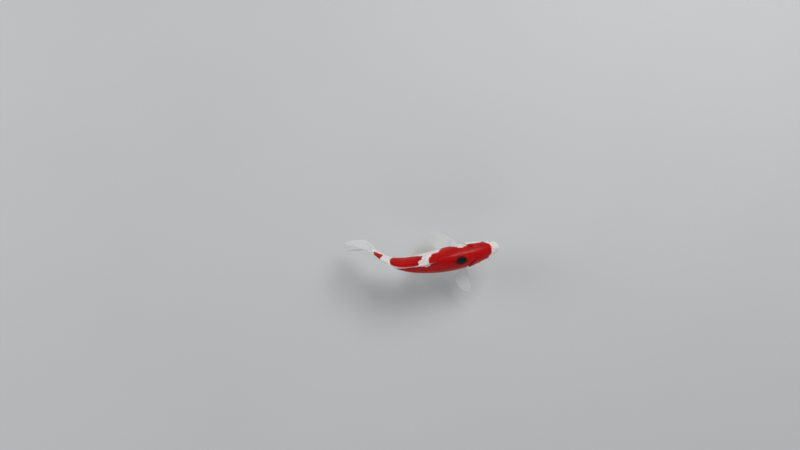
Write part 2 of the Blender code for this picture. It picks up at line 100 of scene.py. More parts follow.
# %% A smooth curve through a few points
def smooth(points, at):
    """Value of the curve at one place or at many."""
    x, y = np.array(points, float).T
    slope = np.gradient(y, x)
    at = np.clip(at, x[0], x[-1])
    i = np.clip(np.searchsorted(x, at) - 1, 0, len(x) - 2)
    step = x[i + 1] - x[i]
    t = (at - x[i]) / step
    rise = t * t * (3 - 2 * t)
    bend = t * (1 - t) ** 2 * slope[i] - t * t * (1 - t) * slope[i + 1]
    return (1 - rise) * y[i] + rise * y[i + 1] + step * bend


def fade(at, start, end):
    """0 up to start, 1 from end on, and a soft step between them."""
    t = np.clip((at - start) / (end - start), 0, 1)
    return t * t * (3 - 2 * t)


def hill(away, width):
    """A soft bump of height 1 where away is 0."""
    return np.exp(-((away / width) ** 2))


def roll(away, height, middle, width):
    """A rounded ridge so far away from a feature, or a groove where the height is negative."""
    return height * hill(away - middle, width)


# %% The spine, placed by the front rod of the stand
SPINE_STATIONS = np.linspace(0, 1.3, 521)
SPINE_TURNS = np.radians(smooth(BEND, SPINE_STATIONS))
SPINE_STEP = LENGTH * SPINE_STATIONS[1]
SPINE_X = np.cumsum(np.sin(SPINE_TURNS)) * SPINE_STEP
SPINE_Y = np.cumsum(np.cos(SPINE_TURNS)) * SPINE_STEP
rod_low, rod_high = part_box("stand_rod_front")
SNOUT_X = (rod_low[0] + rod_high[0]) / 2 - np.interp(ROD_STATION, SPINE_STATIONS, SPINE_X)
SNOUT_Y = (rod_low[1] + rod_high[1]) / 2 - np.interp(ROD_STATION, SPINE_STATIONS, SPINE_Y)
print("snout at", round(float(SNOUT_X), 4), round(float(SNOUT_Y), 4))


def directions(station):
    """The tailward, left and up directions of the body at a station, as unit vectors."""
    turn = np.interp(station, SPINE_STATIONS, SPINE_TURNS)
    lean = np.radians(smooth(ROLL, station))[..., None]
    flat = np.zeros_like(turn)
    tailward = np.stack((np.sin(turn), np.cos(turn), flat), -1)
    level = np.stack((np.cos(turn), -np.sin(turn), flat), -1)
    upright = np.array((0.0, 0.0, 1.0))
    left = level * np.cos(lean) + upright * np.sin(lean)
    return tailward, left, upright * np.cos(lean) - level * np.sin(lean)


def place(station, left, up):
    """The point at a station, so far left of the spine and so far above it."""
    station, left, up = np.broadcast_arrays(station, left, up)
    x = SNOUT_X + np.interp(station, SPINE_STATIONS, SPINE_X)
    y = SNOUT_Y + np.interp(station, SPINE_STATIONS, SPINE_Y)
    _, leftward, upward = directions(station)
    spine = np.stack((x, y, np.full_like(x, SPINE_HEIGHT)), -1)
    return spine + leftward * left[..., None] + upward * up[..., None]


# %% The surface of the body and its outward direction
NEAR_STATION, NEAR_ANGLE = 0.002, 0.7


def body_point(station, angle):
    station, angle = np.broadcast_arrays(np.clip(station, 0, LAST_STATION), angle)
    nose = np.sqrt(1 - (1 - np.minimum(station / NOSE, 1)) ** 2)
    cosine, sine = np.cos(np.radians(angle)), np.sin(np.radians(angle))
    widest = smooth(WIDEST, station) * LENGTH
    edge = np.where(sine > 0, smooth(BACK, station), smooth(BELLY, station)) * LENGTH
    power = 2 / SQUARENESS
    left = smooth(HALF_WIDTH, station) * LENGTH * nose * np.abs(cosine) ** power * np.sign(cosine)
    up = np.abs(edge - widest) * nose * np.abs(sine) ** power * np.sign(sine)
    return place(station, left, widest + up)


def unit(vectors):
    return vectors / np.maximum(np.linalg.norm(vectors, axis=-1, keepdims=True), 1e-12)


def distance(points, spot):
    return np.linalg.norm(points - spot, axis=-1)


def body_normal(station, angle):
    station, angle = np.broadcast_arrays(station, angle)
    along = body_point(station + NEAR_STATION, angle) - body_point(station - NEAR_STATION, angle)
    around = body_point(station, angle + NEAR_ANGLE) - body_point(station, angle - NEAR_ANGLE)
    normal = unit(np.cross(along, around))
    return np.where((station < 1e-6)[..., None], -directions(station)[0], normal)


def elevation(angle):
    """Angle above the widest line on either side: 90 on the back, -90 under the belly."""
    return np.where(angle <= 90, angle, 180 - angle)


# %% [markdown]
# ## The relief of the head
# A koi's head is bare of scales, so all its form is in the skin: thick lips round a small mouth, two
# nostrils on each side, a rim round each eye, and the hard gill cover with its soft free edge. Sculpting
# tools need a hand at the tablet. Here each feature is a height over the plain surface, worked out from its
# distance to a line or a point, so that it is smooth, is the same on both sides, and can be changed by one
# number.

# %% Lips and mouth
MOUTH_HEIGHT = -0.0200 * LENGTH
MOUTH_DROP = math.radians(10)
MOUTH_SAG = 22.0
MOUTH_CORNER = 0.0100
LIP, LIP_GROOVE = (0.0016, 0.0018, 0.0014), (-0.0006, 0.0046, 0.0012)
LIP_THINS, UPPER_LIP_FULLER, LIP_TURN = 0.42, 0.14, 0.001
LIP_THINNING = (0.0020, MOUTH_CORNER + 0.0010)
# Depth and width of the cleft between the lips, and how wide the painted shade along it is.
CLEFT_DEPTH, CLEFT_WIDTH, CLEFT_SHADE = 0.0026, 0.00045, 0.00050
CORNER_STARTS, CORNER_ENDS = MOUTH_CORNER - 0.0010, MOUTH_CORNER + 0.0012
SNOUT_POINT = place(0.0, 0.0, 0.0)
HEAD_TAILWARD, HEAD_LEFT, _ = directions(0.05)


def mouth_distances(points):
    """How far points are behind the snout, and above the line of the mouth, which sags to its corners."""
    offset = points - SNOUT_POINT
    behind = offset @ HEAD_TAILWARD
    line = MOUTH_HEIGHT - behind * math.tan(MOUTH_DROP) - MOUTH_SAG * behind**2
    return behind, (offset[..., 2] - line) * math.cos(MOUTH_DROP)


def mouth_gap(behind, above, width):
    """1 on the line between the lips, as far as the corners."""
    return hill(above, width) * (1 - fade(behind, CORNER_STARTS, CORNER_ENDS))


def mouth_relief(points):
    """Full lips that thin towards the corners, the groove round them, and the cleft between them."""
    behind, above = mouth_distances(points)
    full = 1 - LIP_THINS * fade(behind, *LIP_THINNING)
    full = full * (1 + UPPER_LIP_FULLER * np.tanh(above / LIP_TURN))
    reach = np.hypot(np.maximum(behind - MOUTH_CORNER, 0), above)
    lips = full * roll(reach / full, *LIP)
    height, middle, width = LIP_GROOVE
    groove = full**2 * roll(reach, height, middle * full, width)
    return lips + groove - CLEFT_DEPTH * mouth_gap(behind, above, CLEFT_WIDTH)


# %% Eye sockets and nostrils
EYE_STATION = 0.112
EYE_ELEVATION = 27.0
EYE_RADIUS = 0.0054
EYE_PROUD = 0.0021
SOCKET_DEPTH, SOCKET_FLOOR, SOCKET_EDGE = 0.0032, 0.0039, 0.0044
EYE_ROLLS = ((0.0005, 0.0050, 0.0006), (0.0007, 0.0, 0.0085), (-0.0004, 0.0078, 0.0012))
NOSTRILS = ((0.0700, 41.0, 0.0011), (0.0805, 39.0, 0.0015))
# Depth of the nostrils, and the share of their width that takes painted shade.
NOSTRIL_DEPTH, NOSTRIL_SHADE = 0.0020, 0.85
NOSTRIL_RIM, NOSTRIL_RIM_AT, NOSTRIL_RIM_WIDTH = 0.0005, 1.9, 0.0006


def side_angle(side, elevated):
    """The angle round the body of an elevation on the left (1) or the right (-1) side."""
    return elevated if side > 0 else 180 - elevated


def eye_axis(side):
    """The centre of the eyeball and the way it looks."""
    angle = side_angle(side, EYE_ELEVATION)
    outward = body_normal(EYE_STATION, angle)
    return body_point(EYE_STATION, angle) - outward * (EYE_RADIUS - EYE_PROUD), outward


def eye_relief(points):
    relief = 0
    for side in (1, -1):
        centre, outward = eye_axis(side)
        offset = points - centre
        ahead = offset @ outward
        radius = distance(offset, ahead[..., None] * outward)
        socket = -SOCKET_DEPTH * (1 - fade(radius, SOCKET_FLOOR, SOCKET_EDGE))
        relief = relief + (ahead > 0) * (socket + sum(roll(radius, *shape) for shape in EYE_ROLLS))
    return relief


def nostril_distances(points):
    """How far points are from each of the four nostrils, and how wide that nostril is."""
    for side in (1, -1):
        for station, elevated, radius in NOSTRILS:
            yield distance(points, body_point(station, side_angle(side, elevated))), radius


def nostril_relief(points):
    relief = 0
    for away, radius in nostril_distances(points):
        relief = relief - NOSTRIL_DEPTH * hill(away, radius)
        relief = relief + roll(away, NOSTRIL_RIM, NOSTRIL_RIM_AT * radius, NOSTRIL_RIM_WIDTH)
    return relief


# %% Gill covers
GILL_EDGE = (
    (-90, 0.128), (-75, 0.160), (-58, 0.204), (-40, 0.236), (-20, 0.254), (0, 0.260), (20, 0.254),
    (38, 0.234), (50, 0.210), (60, 0.185),
)
EDGE_ENDS_ABOVE, EDGE_ENDS_BELOW = (62, 50), (-89, -76)
PLATE_HEIGHT, PLATE_SLOPES = 0.0019, (-0.024, -0.0025, -0.0004, 0.0004)
# Depth and slopes of the slit behind the gill cover, and how wide the painted shade in it is.
SLIT_DEPTH, SLIT_SLOPES, SLIT_SHADE = 0.0013, (-0.0002, 0.0006, 0.0012, 0.0085), 0.0007
CHEEK_HEIGHT, CHEEK_SLOPES = 0.0010, (-0.010, -0.001, -0.0002, 0.0009)
CHEEK_WIDTH, CHEEK_ENDS_ABOVE, CHEEK_ENDS_BELOW = 0.074, (30, 14), (-66, -50)
HINGE_STATION, HINGE_ELEVATION = 0.172, 26.0
RIBS, RIB_HEIGHT, RIB_SLOPES = 26, 0.000018, (-0.019, -0.014, -0.004, -0.0015)
RIBS_START, DEGREE_ON_PLATE = (0.004, 0.010), 0.0006


def plateau(along, rise, top, fall, foot):
    """1 between top and fall, with soft slopes up to it and down from it."""
    return fade(along, rise, top) * (1 - fade(along, fall, foot))


def behind_gill_edge(station, up):
    """Metres behind the free edge of the gill cover, and how far there is an edge at this height."""
    shown = fade(up, *EDGE_ENDS_ABOVE) * fade(up, *EDGE_ENDS_BELOW)
    return (station - smooth(GILL_EDGE, up)) * LENGTH, shown


def gill_relief(station, angle):
    """The plate and its ribs, which fan out from the hinge; the slit behind it; the fold of the cheek."""
    up = elevation(angle)
    behind, shown = behind_gill_edge(station, up)
    plate = PLATE_HEIGHT * plateau(behind, *PLATE_SLOPES)
    slit = SLIT_DEPTH * plateau(behind, *SLIT_SLOPES)
    behind_cheek = behind + CHEEK_WIDTH * LENGTH * (1 - 0.10 * np.abs(up) / 60)
    cheek = CHEEK_HEIGHT * plateau(behind_cheek, *CHEEK_SLOPES)
    cheek = cheek * fade(up, *CHEEK_ENDS_ABOVE) * fade(up, *CHEEK_ENDS_BELOW)
    along = (station - HINGE_STATION) * LENGTH
    across = (up - HINGE_ELEVATION) * DEGREE_ON_PLATE
    ribs = RIB_HEIGHT * np.cos(np.arctan2(across, along) * RIBS)
    ribs = ribs * fade(np.hypot(along, across), *RIBS_START) * plateau(behind, *RIB_SLOPES)
    return shown * (plate - slit + ribs) + cheek


def painted_hollow_shade(points, station, angle):
    """1 where shade is painted into the openings of the head: the mouth, the nostrils and the gill slit."""
    dark = mouth_gap(*mouth_distances(points), CLEFT_SHADE)
    for away, radius in nostril_distances(points):
        dark = np.maximum(dark, hill(away, radius * NOSTRIL_SHADE))
    behind, shown = behind_gill_edge(station, elevation(angle))
    return np.maximum(dark, hill(behind - SLIT_SHADE, SLIT_SHADE) * shown)


# %% Fleshy roots of the fins
DORSAL = (0.465, 0.835)
ANAL = (0.745, 0.818)
PECTORAL_FOOT = (0.272, -44.0)
PELVIC_FOOT = (0.490, -66.0)
FOOT_SWELLINGS = ((PECTORAL_FOOT, 0.0020, 0.0065), (PELVIC_FOOT, 0.0012, 0.0050))
FOOT_CENTRE = 0.012
RIDGE_HEIGHT, RIDGE_WIDTH = 0.0011, 6.5


def root_relief(points, station, angle):
    """Swellings round the feet of the paired fins, and ridges along the roots of the long ones."""
    relief = 0
    for side in (1, -1):
        for (foot_station, foot_elevation), height, width in FOOT_SWELLINGS:
            foot = body_point(foot_station + FOOT_CENTRE, side_angle(side, foot_elevation))
            relief = relief + height * hill(distance(points, foot), width)
    for (first, last), edge in ((DORSAL, 90), (ANAL, -90)):
        inside = plateau(station, first - 0.02, first + 0.01, last - 0.005, last + 0.02)
        relief = relief + RIDGE_HEIGHT * inside * hill(elevation(angle) - edge, RIDGE_WIDTH)
    return relief


def skin_surface(station, angle, depth):
    """Points of the finished skin, which lies depth inside the plain surface."""
    plain = body_point(station, angle)
    relief = mouth_relief(plain) + eye_relief(plain) + nostril_relief(plain)
    relief = relief + gill_relief(station, angle) + root_relief(plain, station, angle) - depth
    return plain + body_normal(station, angle) * relief[..., None]


# %% [markdown]
# ## The markings
# The red patches and the black spot have to run on from the skin to the scales without a break, so they are
# not painted on either. A koi's pattern is like a map: each patch has an outline, given here as a ring of
# places on the body. Every vertex remembers its depth inside the red and inside the black, in metres, and
# negative outside. The materials then turn the depth into colour, which stays crisp however far apart the
# vertices are.

# %% Outlines of the patches, as rings of (station, angle)
RED_OUTLINE = (
    (0.058, 85), (0.061, 63), (0.069, 44), (0.088, 31), (0.115, 28), (0.139, 28), (0.183, 33),
    (0.229, 37), (0.254, 43), (0.269, 50), (0.296, 47), (0.325, 38), (0.344, 25), (0.368, 11), (0.400, 0),
    (0.430, 3), (0.446, 21), (0.458, 36), (0.476, 41), (0.503, 38), (0.524, 43), (0.539, 55), (0.553, 67),
    (0.562, 78), (0.561, 86), (0.551, 91), (0.544, 95), (0.562, 98), (0.585, 99), (0.612, 98),
    (0.634, 95), (0.647, 90), (0.641, 82), (0.634, 70), (0.621, 60), (0.605, 52), (0.599, 41),
    (0.613, 30), (0.639, 19), (0.660, 8), (0.694, -5), (0.732, -10), (0.779, -13), (0.826, -15),
    (0.850, -14), (0.862, 0), (0.867, 24), (0.865, 55), (0.857, 82), (0.845, 98), (0.832, 112),
    (0.800, 122), (0.765, 120), (0.742, 128), (0.722, 150), (0.690, 172), (0.640, 186), (0.570, 192),
    (0.500, 188), (0.430, 199), (0.360, 204), (0.300, 192), (0.250, 198), (0.180, 190), (0.130, 180),
    (0.105, 163), (0.087, 140), (0.075, 133), (0.064, 123), (0.058, 104),
)
STALK_OUTLINE = (
    (0.931, -6), (0.934, 30), (0.936, 70), (0.939, 105), (0.942, 140), (0.962, 158), (0.990, 150),
    (1.008, 120), (1.013, 85), (1.012, 35), (0.998, 14), (0.970, 4), (0.946, -8),
)
BLACK_OUTLINE = (
    (0.353, 102), (0.336, 93), (0.309, 90), (0.285, 94), (0.260, 106), (0.267, 116), (0.292, 127),
    (0.323, 129), (0.346, 119),
)

# %% The depth of a place inside an outline
MOST_DEPTH = 0.02
WAVE_ALONG, WAVE_ACROSS = 0.0006, 0.0005
CORNER_CUT = 0.25


def flattened(station, angle):
    """A place on the skin laid flat: metres from the snout, and metres round from the back."""
    tall = (smooth(BACK, station) - smooth(BELLY, station)) / 2
    quarter = (tall + smooth(HALF_WIDTH, station)) * 0.8 * LENGTH
    turn = (angle - 90) / 90
    return station * LENGTH, turn * quarter * (0.75 + 0.25 * np.abs(turn))


def rounded(outline):
    """The ring of an outline on the flattened skin, with each corner cut off."""
    station, angle = np.array(outline, float).T
    ring = np.stack(flattened(station, angle), -1)
    after = np.roll(ring, -1, axis=0)
    near_each = [(1 - cut) * ring + cut * after for cut in (CORNER_CUT, 1 - CORNER_CUT)]
    return np.stack(near_each, 1).reshape(-1, 2)


def depth_inside(x, y, ring):
    """Distance to a ring, positive inside it and negative outside."""
    nearest = np.full(x.shape, MOST_DEPTH)
    inside = np.zeros(x.shape, bool)
    for (ax, ay), (bx, by) in zip(ring, np.roll(ring, -1, axis=0)):
        share = ((x - ax) * (bx - ax) + (y - ay) * (by - ay)) / ((bx - ax) ** 2 + (by - ay) ** 2)
        share = np.clip(share, 0, 1)
        away = np.hypot(x - ax - share * (bx - ax), y - ay - share * (by - ay))
        nearest = np.minimum(nearest, away)
        crossing = ax + (y - ay) * (bx - ax) / ((by - ay) or 1.0)
        inside ^= ((ay > y) != (by > y)) & (x < crossing)
    return np.where(inside, nearest, -nearest)


RED_RING, STALK_RING, BLACK_RING = rounded(RED_OUTLINE), rounded(STALK_OUTLINE), rounded(BLACK_OUTLINE)


def markings(station, angle):
    """Depth inside the red and the black, in metres. Slow waves keep the borders from running too even."""
    x, y = flattened(station, angle)
    shift = np.sin(x * 205 + 2.1 * np.sin(y * 110)) + 0.6 * np.sin(x * 420 + y * 285 + 1.3)
    sway = np.sin(y * 190 + 1.7 * np.sin(x * 137 + 0.6)) + 0.6 * np.sin(y * 443 - x * 237)
    x, y = x + WAVE_ALONG * shift, y + WAVE_ACROSS * sway
    red = np.maximum(depth_inside(x, y, RED_RING), depth_inside(x, y, STALK_RING))
    return red, depth_inside(x, y, BLACK_RING)


print("corners of the red outline:", len(RED_RING), "of the black one:", len(BLACK_RING))

# %% [markdown]
# ## One way to make the soft pieces
# A body or a fin has no flat faces to extrude, so each one starts as Blender's plain grid, like a sheet of
# rubber. Every vertex of the sheet has a place u across and v along, and is moved to where that place is on
# the animal. Where the edges of the sheet meet they are merged, so that it closes like a sock. The grid's
# own UV map still holds u and v, which gives an even unwrap for nothing.

# %% Small helpers for any mesh
def clear_selection():
    """Operators act on all that is selected, so each piece starts from nothing."""
    bpy.ops.object.select_all(action="DESELECT")


def edit(on):
    """Edit mode on or off."""
    bpy.ops.object.mode_set(mode="EDIT" if on else "OBJECT")


def start(name, primitive, location=(0, 0, 0), **settings):
    """Adds a primitive, alone and under its name."""
    clear_selection()
    primitive(location=location, **settings)
    piece = bpy.context.object
    piece.name = piece.data.name = name
    return piece


SOFT_EDGES, SCALE_EDGES, STAND_EDGES = 50, 38, 35


def shade(piece, degrees):
    """Shades a piece smooth, but for edges that turn by more degrees than that."""
    clear_selection()
    piece.select_set(True)
    bpy.context.view_layer.objects.active = piece
    bpy.ops.object.shade_smooth_by_angle(angle=math.radians(degrees), keep_sharp_edges=False)


def read(items, word, size, kind=np.float32):
    """A row of numbers from each vertex, corner or triangle of a mesh."""
    values = np.empty(len(items) * size, kind)
    items.foreach_get(word, values)
    return values.reshape(-1, size)


def join(pieces, name):
    clear_selection()
    for piece in pieces:
        piece.select_set(True)
    bpy.context.view_layer.objects.active = pieces[0]
    bpy.ops.object.join()
    pieces[0].name = pieces[0].data.name = name
    return pieces[0]


def report(piece):
    triangles = sum(len(face.vertices) - 2 for face in piece.data.polygons)
    print(f"{piece.name}: {len(piece.data.vertices)} vertices, {triangles} triangles")


# %% Sheet of rubber
MERGE_WITHIN = 1e-6


def volume_inside(piece):
    """The volume that a closed piece holds. It comes out negative when the faces point inwards."""
    piece.data.calc_loop_triangles()
    points = read(piece.data.vertices, "co", 3)
    corners = read(piece.data.loop_triangles, "vertices", 3, np.int32)
    a, b, c = (points[corners[:, i]] - points[0] for i in range(3))
    return float(np.sum(a * np.cross(b, c))) / 6


def remember(piece, word, values):
    """Gives every vertex a number under a name, for the finishes to read."""
    piece.data.attributes.new(word, "FLOAT", "POINT").data.foreach_set("value", values.astype(np.float32))


def merge_and_face_outwards(piece):
    bpy.context.view_layer.objects.active = piece
    edit(True)
    bpy.ops.mesh.select_all(action="SELECT")
    bpy.ops.mesh.remove_doubles(threshold=MERGE_WITHIN)
    bpy.ops.mesh.normals_make_consistent(inside=False)
    edit(False)
    if volume_inside(piece) < 0:
        edit(True)
        bpy.ops.mesh.flip_normals()
        edit(False)


def sheet(name, columns, rows, shape):
    """A grid laid out by shape(u, v), which gives the points and what else each vertex remembers."""
    piece = start(name, bpy.ops.mesh.primitive_grid_add, x_subdivisions=columns, y_subdivisions=rows, size=1)
    flat = read(piece.data.vertices, "co", 3).astype(float) + 0.5
    points, remembered = shape(flat[:, 0], flat[:, 1])
    piece.data.vertices.foreach_set("co", points.astype(np.float32).ravel())
    for word, values in remembered.items():
        remember(piece, word, np.broadcast_to(values, len(flat)))
    piece.data.uv_layers[0].name = "OFBake"
    merge_and_face_outwards(piece)
    shade(piece, SOFT_EDGES)
    return piece


def fit_unwrap(piece, low, high):
    """Moves a piece's unwrap into the box between two corners of the unwrap square."""
    layer = piece.data.uv_layers["OFBake"].data
    places = read(layer, "uv", 2) * (np.array(high) - low) + low
    layer.foreach_set("uv", places.astype(np.float32).ravel())


# %% [markdown]
# ## The skin
# The whole body is one skin, from the lips to the root of the tail. Its rows are close together on the
# head, where lips, nostrils and gill covers need them, and wider apart under the scales, which hide the
# skin anyway. Behind the head the skin sinks by half a millimetre, and the scales take up that depth.

# %% Rows of the skin
HAIRLINE = (
    (-90, 0.175), (-60, 0.215), (-30, 0.262), (0, 0.268), (30, 0.250), (55, 0.226), (75, 0.216),
    (90, 0.222),
)
SKIN_COLUMNS = 280
SKIN_DEPTH, LEAST_DEPTH = 0.0005, 0.00005
SINKS_BETWEEN = (-0.001, 0.006)
END_ROUNDING = 0.006
UNWRAP_TOP = 0.96
snout_turns = np.linspace(0, math.pi / 2, 54)
ROW_STATIONS = np.concatenate((
    NOSE * (1 - np.cos(snout_turns)),
    np.linspace(NOSE, 0.28, 138)[1:],
    np.linspace(0.28, LAST_STATION, 146)[1:],
    LAST_STATION + END_ROUNDING * np.array((0.5, 0.85, 1.0)),
))
ROW_PLACES = np.linspace(0, 1, len(ROW_STATIONS))


def behind_hairline(station, angle):
    """Metres behind the line where the scales start."""
    return (station - smooth(HAIRLINE, elevation(angle))) * LENGTH


def skin_depth(station, angle):
    return SKIN_DEPTH * fade(behind_hairline(station, angle), *SINKS_BETWEEN) + LEAST_DEPTH


def skin_shape(u, v):
    raw = np.interp(v, ROW_PLACES, ROW_STATIONS)
    station = np.minimum(raw, LAST_STATION)
    angle = 360 * u - 90
    points = skin_surface(station, angle, skin_depth(station, angle))
    past = (raw - station) / END_ROUNDING
    middle = place(raw, 0.0, smooth(WIDEST, station) * LENGTH)
    ends = middle - place(station, 0.0, smooth(WIDEST, station) * LENGTH)
    closing = np.sqrt(np.maximum(1 - past**2, 0))[:, None]
    points = np.where((past > 0)[:, None], middle + (points + ends - middle) * closing, points)
    red, black = markings(station, angle)
    # Painted shade in the mouth, the nostrils and the gill slit, remembered by each vertex.
    dark = painted_hollow_shade(body_point(station, angle), station, angle)
    return points, {"red_depth": red, "black_depth": black, "hollow_shade": dark}


skin = sheet("koi_skin", SKIN_COLUMNS, len(ROW_STATIONS) - 1, skin_shape)
fit_unwrap(skin, (0, 0), (1, UNWRAP_TOP))
report(skin)

# %% [markdown]
# ## Barbels
# Four soft feelers hang from the lips: a short pair in front and a longer pair at the corners of the mouth.
# Each is a sheet rolled into a tube that thins to a round tip. Its thick end starts inside the lip, so it
# belongs to the skin, and it is joined to it.

# %% Four barbels, joined to the skin
BARBELS = (
    (0.030, 14, (0.75, -0.35, -0.45), 0.0075, 0.0009),
    (0.060, -16, (0.72, 0.30, -0.50), 0.0140, 0.0012),
)
BARBEL_COLUMNS, BARBEL_ROWS = 14, 30
BARBEL_SUNK, BARBEL_DROOP, BARBEL_TRAIL = 0.0012, 0.30, 0.10
BARBEL_THINS, BARBEL_FLARE, BARBEL_KNOTS = 0.50, 0.55, 0.05
# The barbels are white all over and take no painted shade.
WHITE_ALL_OVER = {"red_depth": -MOST_DEPTH, "black_depth": -MOST_DEPTH, "hollow_shade": 0.0}


def barbel(side, station, elevated, heading, length, radius):
    """heading is its direction at the root, as shares outwards, tailward and up."""
    angle = side_angle(side, elevated)
    root = body_point(station, angle) - body_normal(station, angle) * BARBEL_SUNK
    out, tailward, up = heading
    heading = unit(HEAD_LEFT * side * out + HEAD_TAILWARD * tailward + np.array((0, 0, up)))
    level = unit(np.cross(heading, (0, 0, 1)))
    across = np.cross(level, heading)

    def shape(u, v):
        turn = 2 * math.pi * u
        drop = np.zeros((len(v), 3))
        drop[:, 2] = -BARBEL_DROOP * length * v * v
        drop += HEAD_TAILWARD * (BARBEL_TRAIL * length * v**3)[:, None]
        path = root + heading * (length * v)[:, None] + drop
        thick = radius * (1 - BARBEL_THINS * v + BARBEL_FLARE * np.exp(-v * 9))
        thick = thick * (1 + BARBEL_KNOTS * np.cos(v * 46))
        thick = thick * np.sqrt(np.maximum(1 - v**9, 0)) * fade(v, 0, 0.03)
        ring = level * np.cos(turn)[:, None] + across * np.sin(turn)[:, None]
        return path + ring * thick[:, None], WHITE_ALL_OVER

    return sheet("barbel", BARBEL_COLUMNS, BARBEL_ROWS, shape)


barbels = [
    barbel(side, station, elevated, heading, length, radius)
    for side in (1, -1) for station, elevated, heading, length, radius in BARBELS
]
for number, feeler in enumerate(barbels):
    fit_unwrap(feeler, (0.25 * number + 0.01, UNWRAP_TOP + 0.01), (0.25 * number + 0.24, 0.995))
skin = join([skin] + barbels, "koi_skin")
report(skin)

# %% [markdown]
# ## The scales
# A koi has about 36 scales along its side and a dozen rows from back to belly. Each scale is a thin shield,
# rooted in a pocket of the skin, and its round rear edge lies on the scale behind. A particle system or an
# array along a curve could lay them, but neither can make the rows follow the narrowing body. Here one
# small shield, a grid with a rim and an underside, is copied to each root, and bent to the body there.

# %% Rows and roots of the scales
LATERAL = ((0.20, 14), (0.30, 8), (0.45, 3), (0.70, 1), (1.03, 0))
FIRST_SCALE, LAST_SCALE = 0.205, 1.000
SCALE_PITCH = 0.0067
SCALE_ROW = 0.0088
HALF_ROWS = 8
along_body = np.linspace(FIRST_SCALE, LAST_SCALE, 400)


def half_girth(station):
    angles = np.linspace(-90, 90, 61)
    ring = body_point(np.full(len(angles), station), angles)
    return np.linalg.norm(np.diff(ring, axis=0), axis=1).sum()


GIRTHS = np.array([half_girth(station) for station in along_body])
slimness = GIRTHS / GIRTHS.max()
PITCHES = SCALE_PITCH * (0.58 + 0.42 * slimness)
ROW_HEIGHTS = SCALE_ROW * (0.42 + 0.58 * slimness)
COUNTS = np.concatenate(([0], np.cumsum(np.diff(along_body) * LENGTH / PITCHES[1:])))
print("scales along the side:", round(float(COUNTS[-1]), 1))


def row_height(station):
    return float(np.interp(station, along_body, ROW_HEIGHTS))


def scale_roots():
    """Station, distance above the lateral line, and row of every scale that could lie on one side."""
    roots = []
    for row in range(-HALF_ROWS, HALF_ROWS + 1):
        for count in np.arange(0.5 if row % 2 else 0.0, COUNTS[-1], 1.0):
            station = float(np.interp(count, COUNTS, along_body))
            roots.append((station, row * row_height(station), row))
    return roots


# %% One scale, as a shield of a few dozen faces
SHIELD_ROWS, SHIELD_COLUMNS = 5, 8
SHIELD_LENGTH, SHIELD_WIDTH = 1.95, 1.52
SCALE_SUNK, SCALE_RAISED, SCALE_THICK = 0.00045, 0.00035, 0.00036
DEEP_ROOT = 0.0025
COAT_SUNK = 0.0002
AHEAD_OF_ROOT = 0.62
p, q = [axis.ravel() for axis in np.meshgrid(
    np.linspace(0, 1, SHIELD_ROWS + 1) ** 0.8,
    np.sin(np.linspace(-math.pi / 2, math.pi / 2, SHIELD_COLUMNS + 1)),
    indexing="ij",
)]
SHIELD_ALONG = p * (1 - (0.26 * q**2 + 0.20 * q**8) * p)
SHIELD_ACROSS = q * (0.82 + 0.18 * np.sin(math.pi * np.minimum(p * 1.1, 1)))
grid = np.arange(len(p)).reshape(SHIELD_ROWS + 1, SHIELD_COLUMNS + 1)
RIM = np.concatenate((grid[0, :-1], grid[:-1, -1], grid[-1, :0:-1], grid[:0:-1, 0]))
TOP_FACES = [
    (grid[i, j], grid[i + 1, j], grid[i + 1, j + 1], grid[i, j + 1])
    for i in range(SHIELD_ROWS) for j in range(SHIELD_COLUMNS)
]
UNDER = len(p) + np.arange(len(RIM))
SIDE_FACES = [
    (RIM[i], RIM[(i + 1) % len(RIM)], UNDER[(i + 1) % len(RIM)], UNDER[i]) for i in range(len(RIM))
]
print("faces in one scale:", len(TOP_FACES) + len(SIDE_FACES) + 1)


def unwrap_place(station, angle):
    """Where a point of the body lies on the unwrap of the skin."""
    return ((angle + 90) / 360) % 1.0, np.interp(station, ROW_STATIONS, ROW_PLACES) * UNWRAP_TOP


# %% Lay one scale
LENGTH_VARIES, SLANT_VARIES = 0.04, 0.03
DOME_HEIGHT, EDGE_DIP = 0.00026, 0.00010


def arc_table(station):
    """Angles and their distances round the section, above the lateral line."""
    angles = np.linspace(-150, 150, 301)
    ring = body_point(np.full(len(angles), station), angles)
    arcs = np.concatenate(([0], np.cumsum(np.linalg.norm(np.diff(ring, axis=0), axis=1))))
    return angles, arcs - np.interp(float(smooth(LATERAL, station)), angles, arcs)


def lay_scale(station, arc, side, random):
    """Points of a scale, and the stations and angles of its shield. One that starts under the gill cover is
    rooted deeper, so that its flat underside stays below the slit."""
    angles, arcs = arc_table(station)
    pitch = float(np.interp(station, along_body, PITCHES))
    width = row_height(station) * SHIELD_WIDTH
    length = pitch * SHIELD_LENGTH * random.uniform(1 - LENGTH_VARIES, 1 + LENGTH_VARIES)
    slant = random.uniform(-SLANT_VARIES, SLANT_VARIES)
    ahead = (SHIELD_ALONG - AHEAD_OF_ROOT) * length
    across = SHIELD_ACROSS * width / 2 + ahead * slant
    angle = np.interp(arc + across, arcs, angles)
    stations = np.clip(station + ahead / LENGTH, 0, LAST_STATION)
    dome = -DOME_HEIGHT * q**2 * (0.35 + 0.65 * p) - EDGE_DIP * fade(p, 0.80, 1.0)
    height = -SCALE_SUNK + (SCALE_SUNK + SCALE_RAISED) * SHIELD_ALONG + dome
    whole = angle if side > 0 else 180 - angle
    base = skin_surface(stations, whole, 0.0)
    outward = body_normal(stations, whole)
    over_slit = np.any(stations < smooth(GILL_EDGE, elevation(whole)))
    thick = SCALE_THICK + (DEEP_ROOT if over_slit else 0)
    top = base + outward * (height - COAT_SUNK)[:, None]
    under = (base + outward * (height - COAT_SUNK - thick)[:, None])[RIM]
    return np.concatenate((top, under)), stations, whole


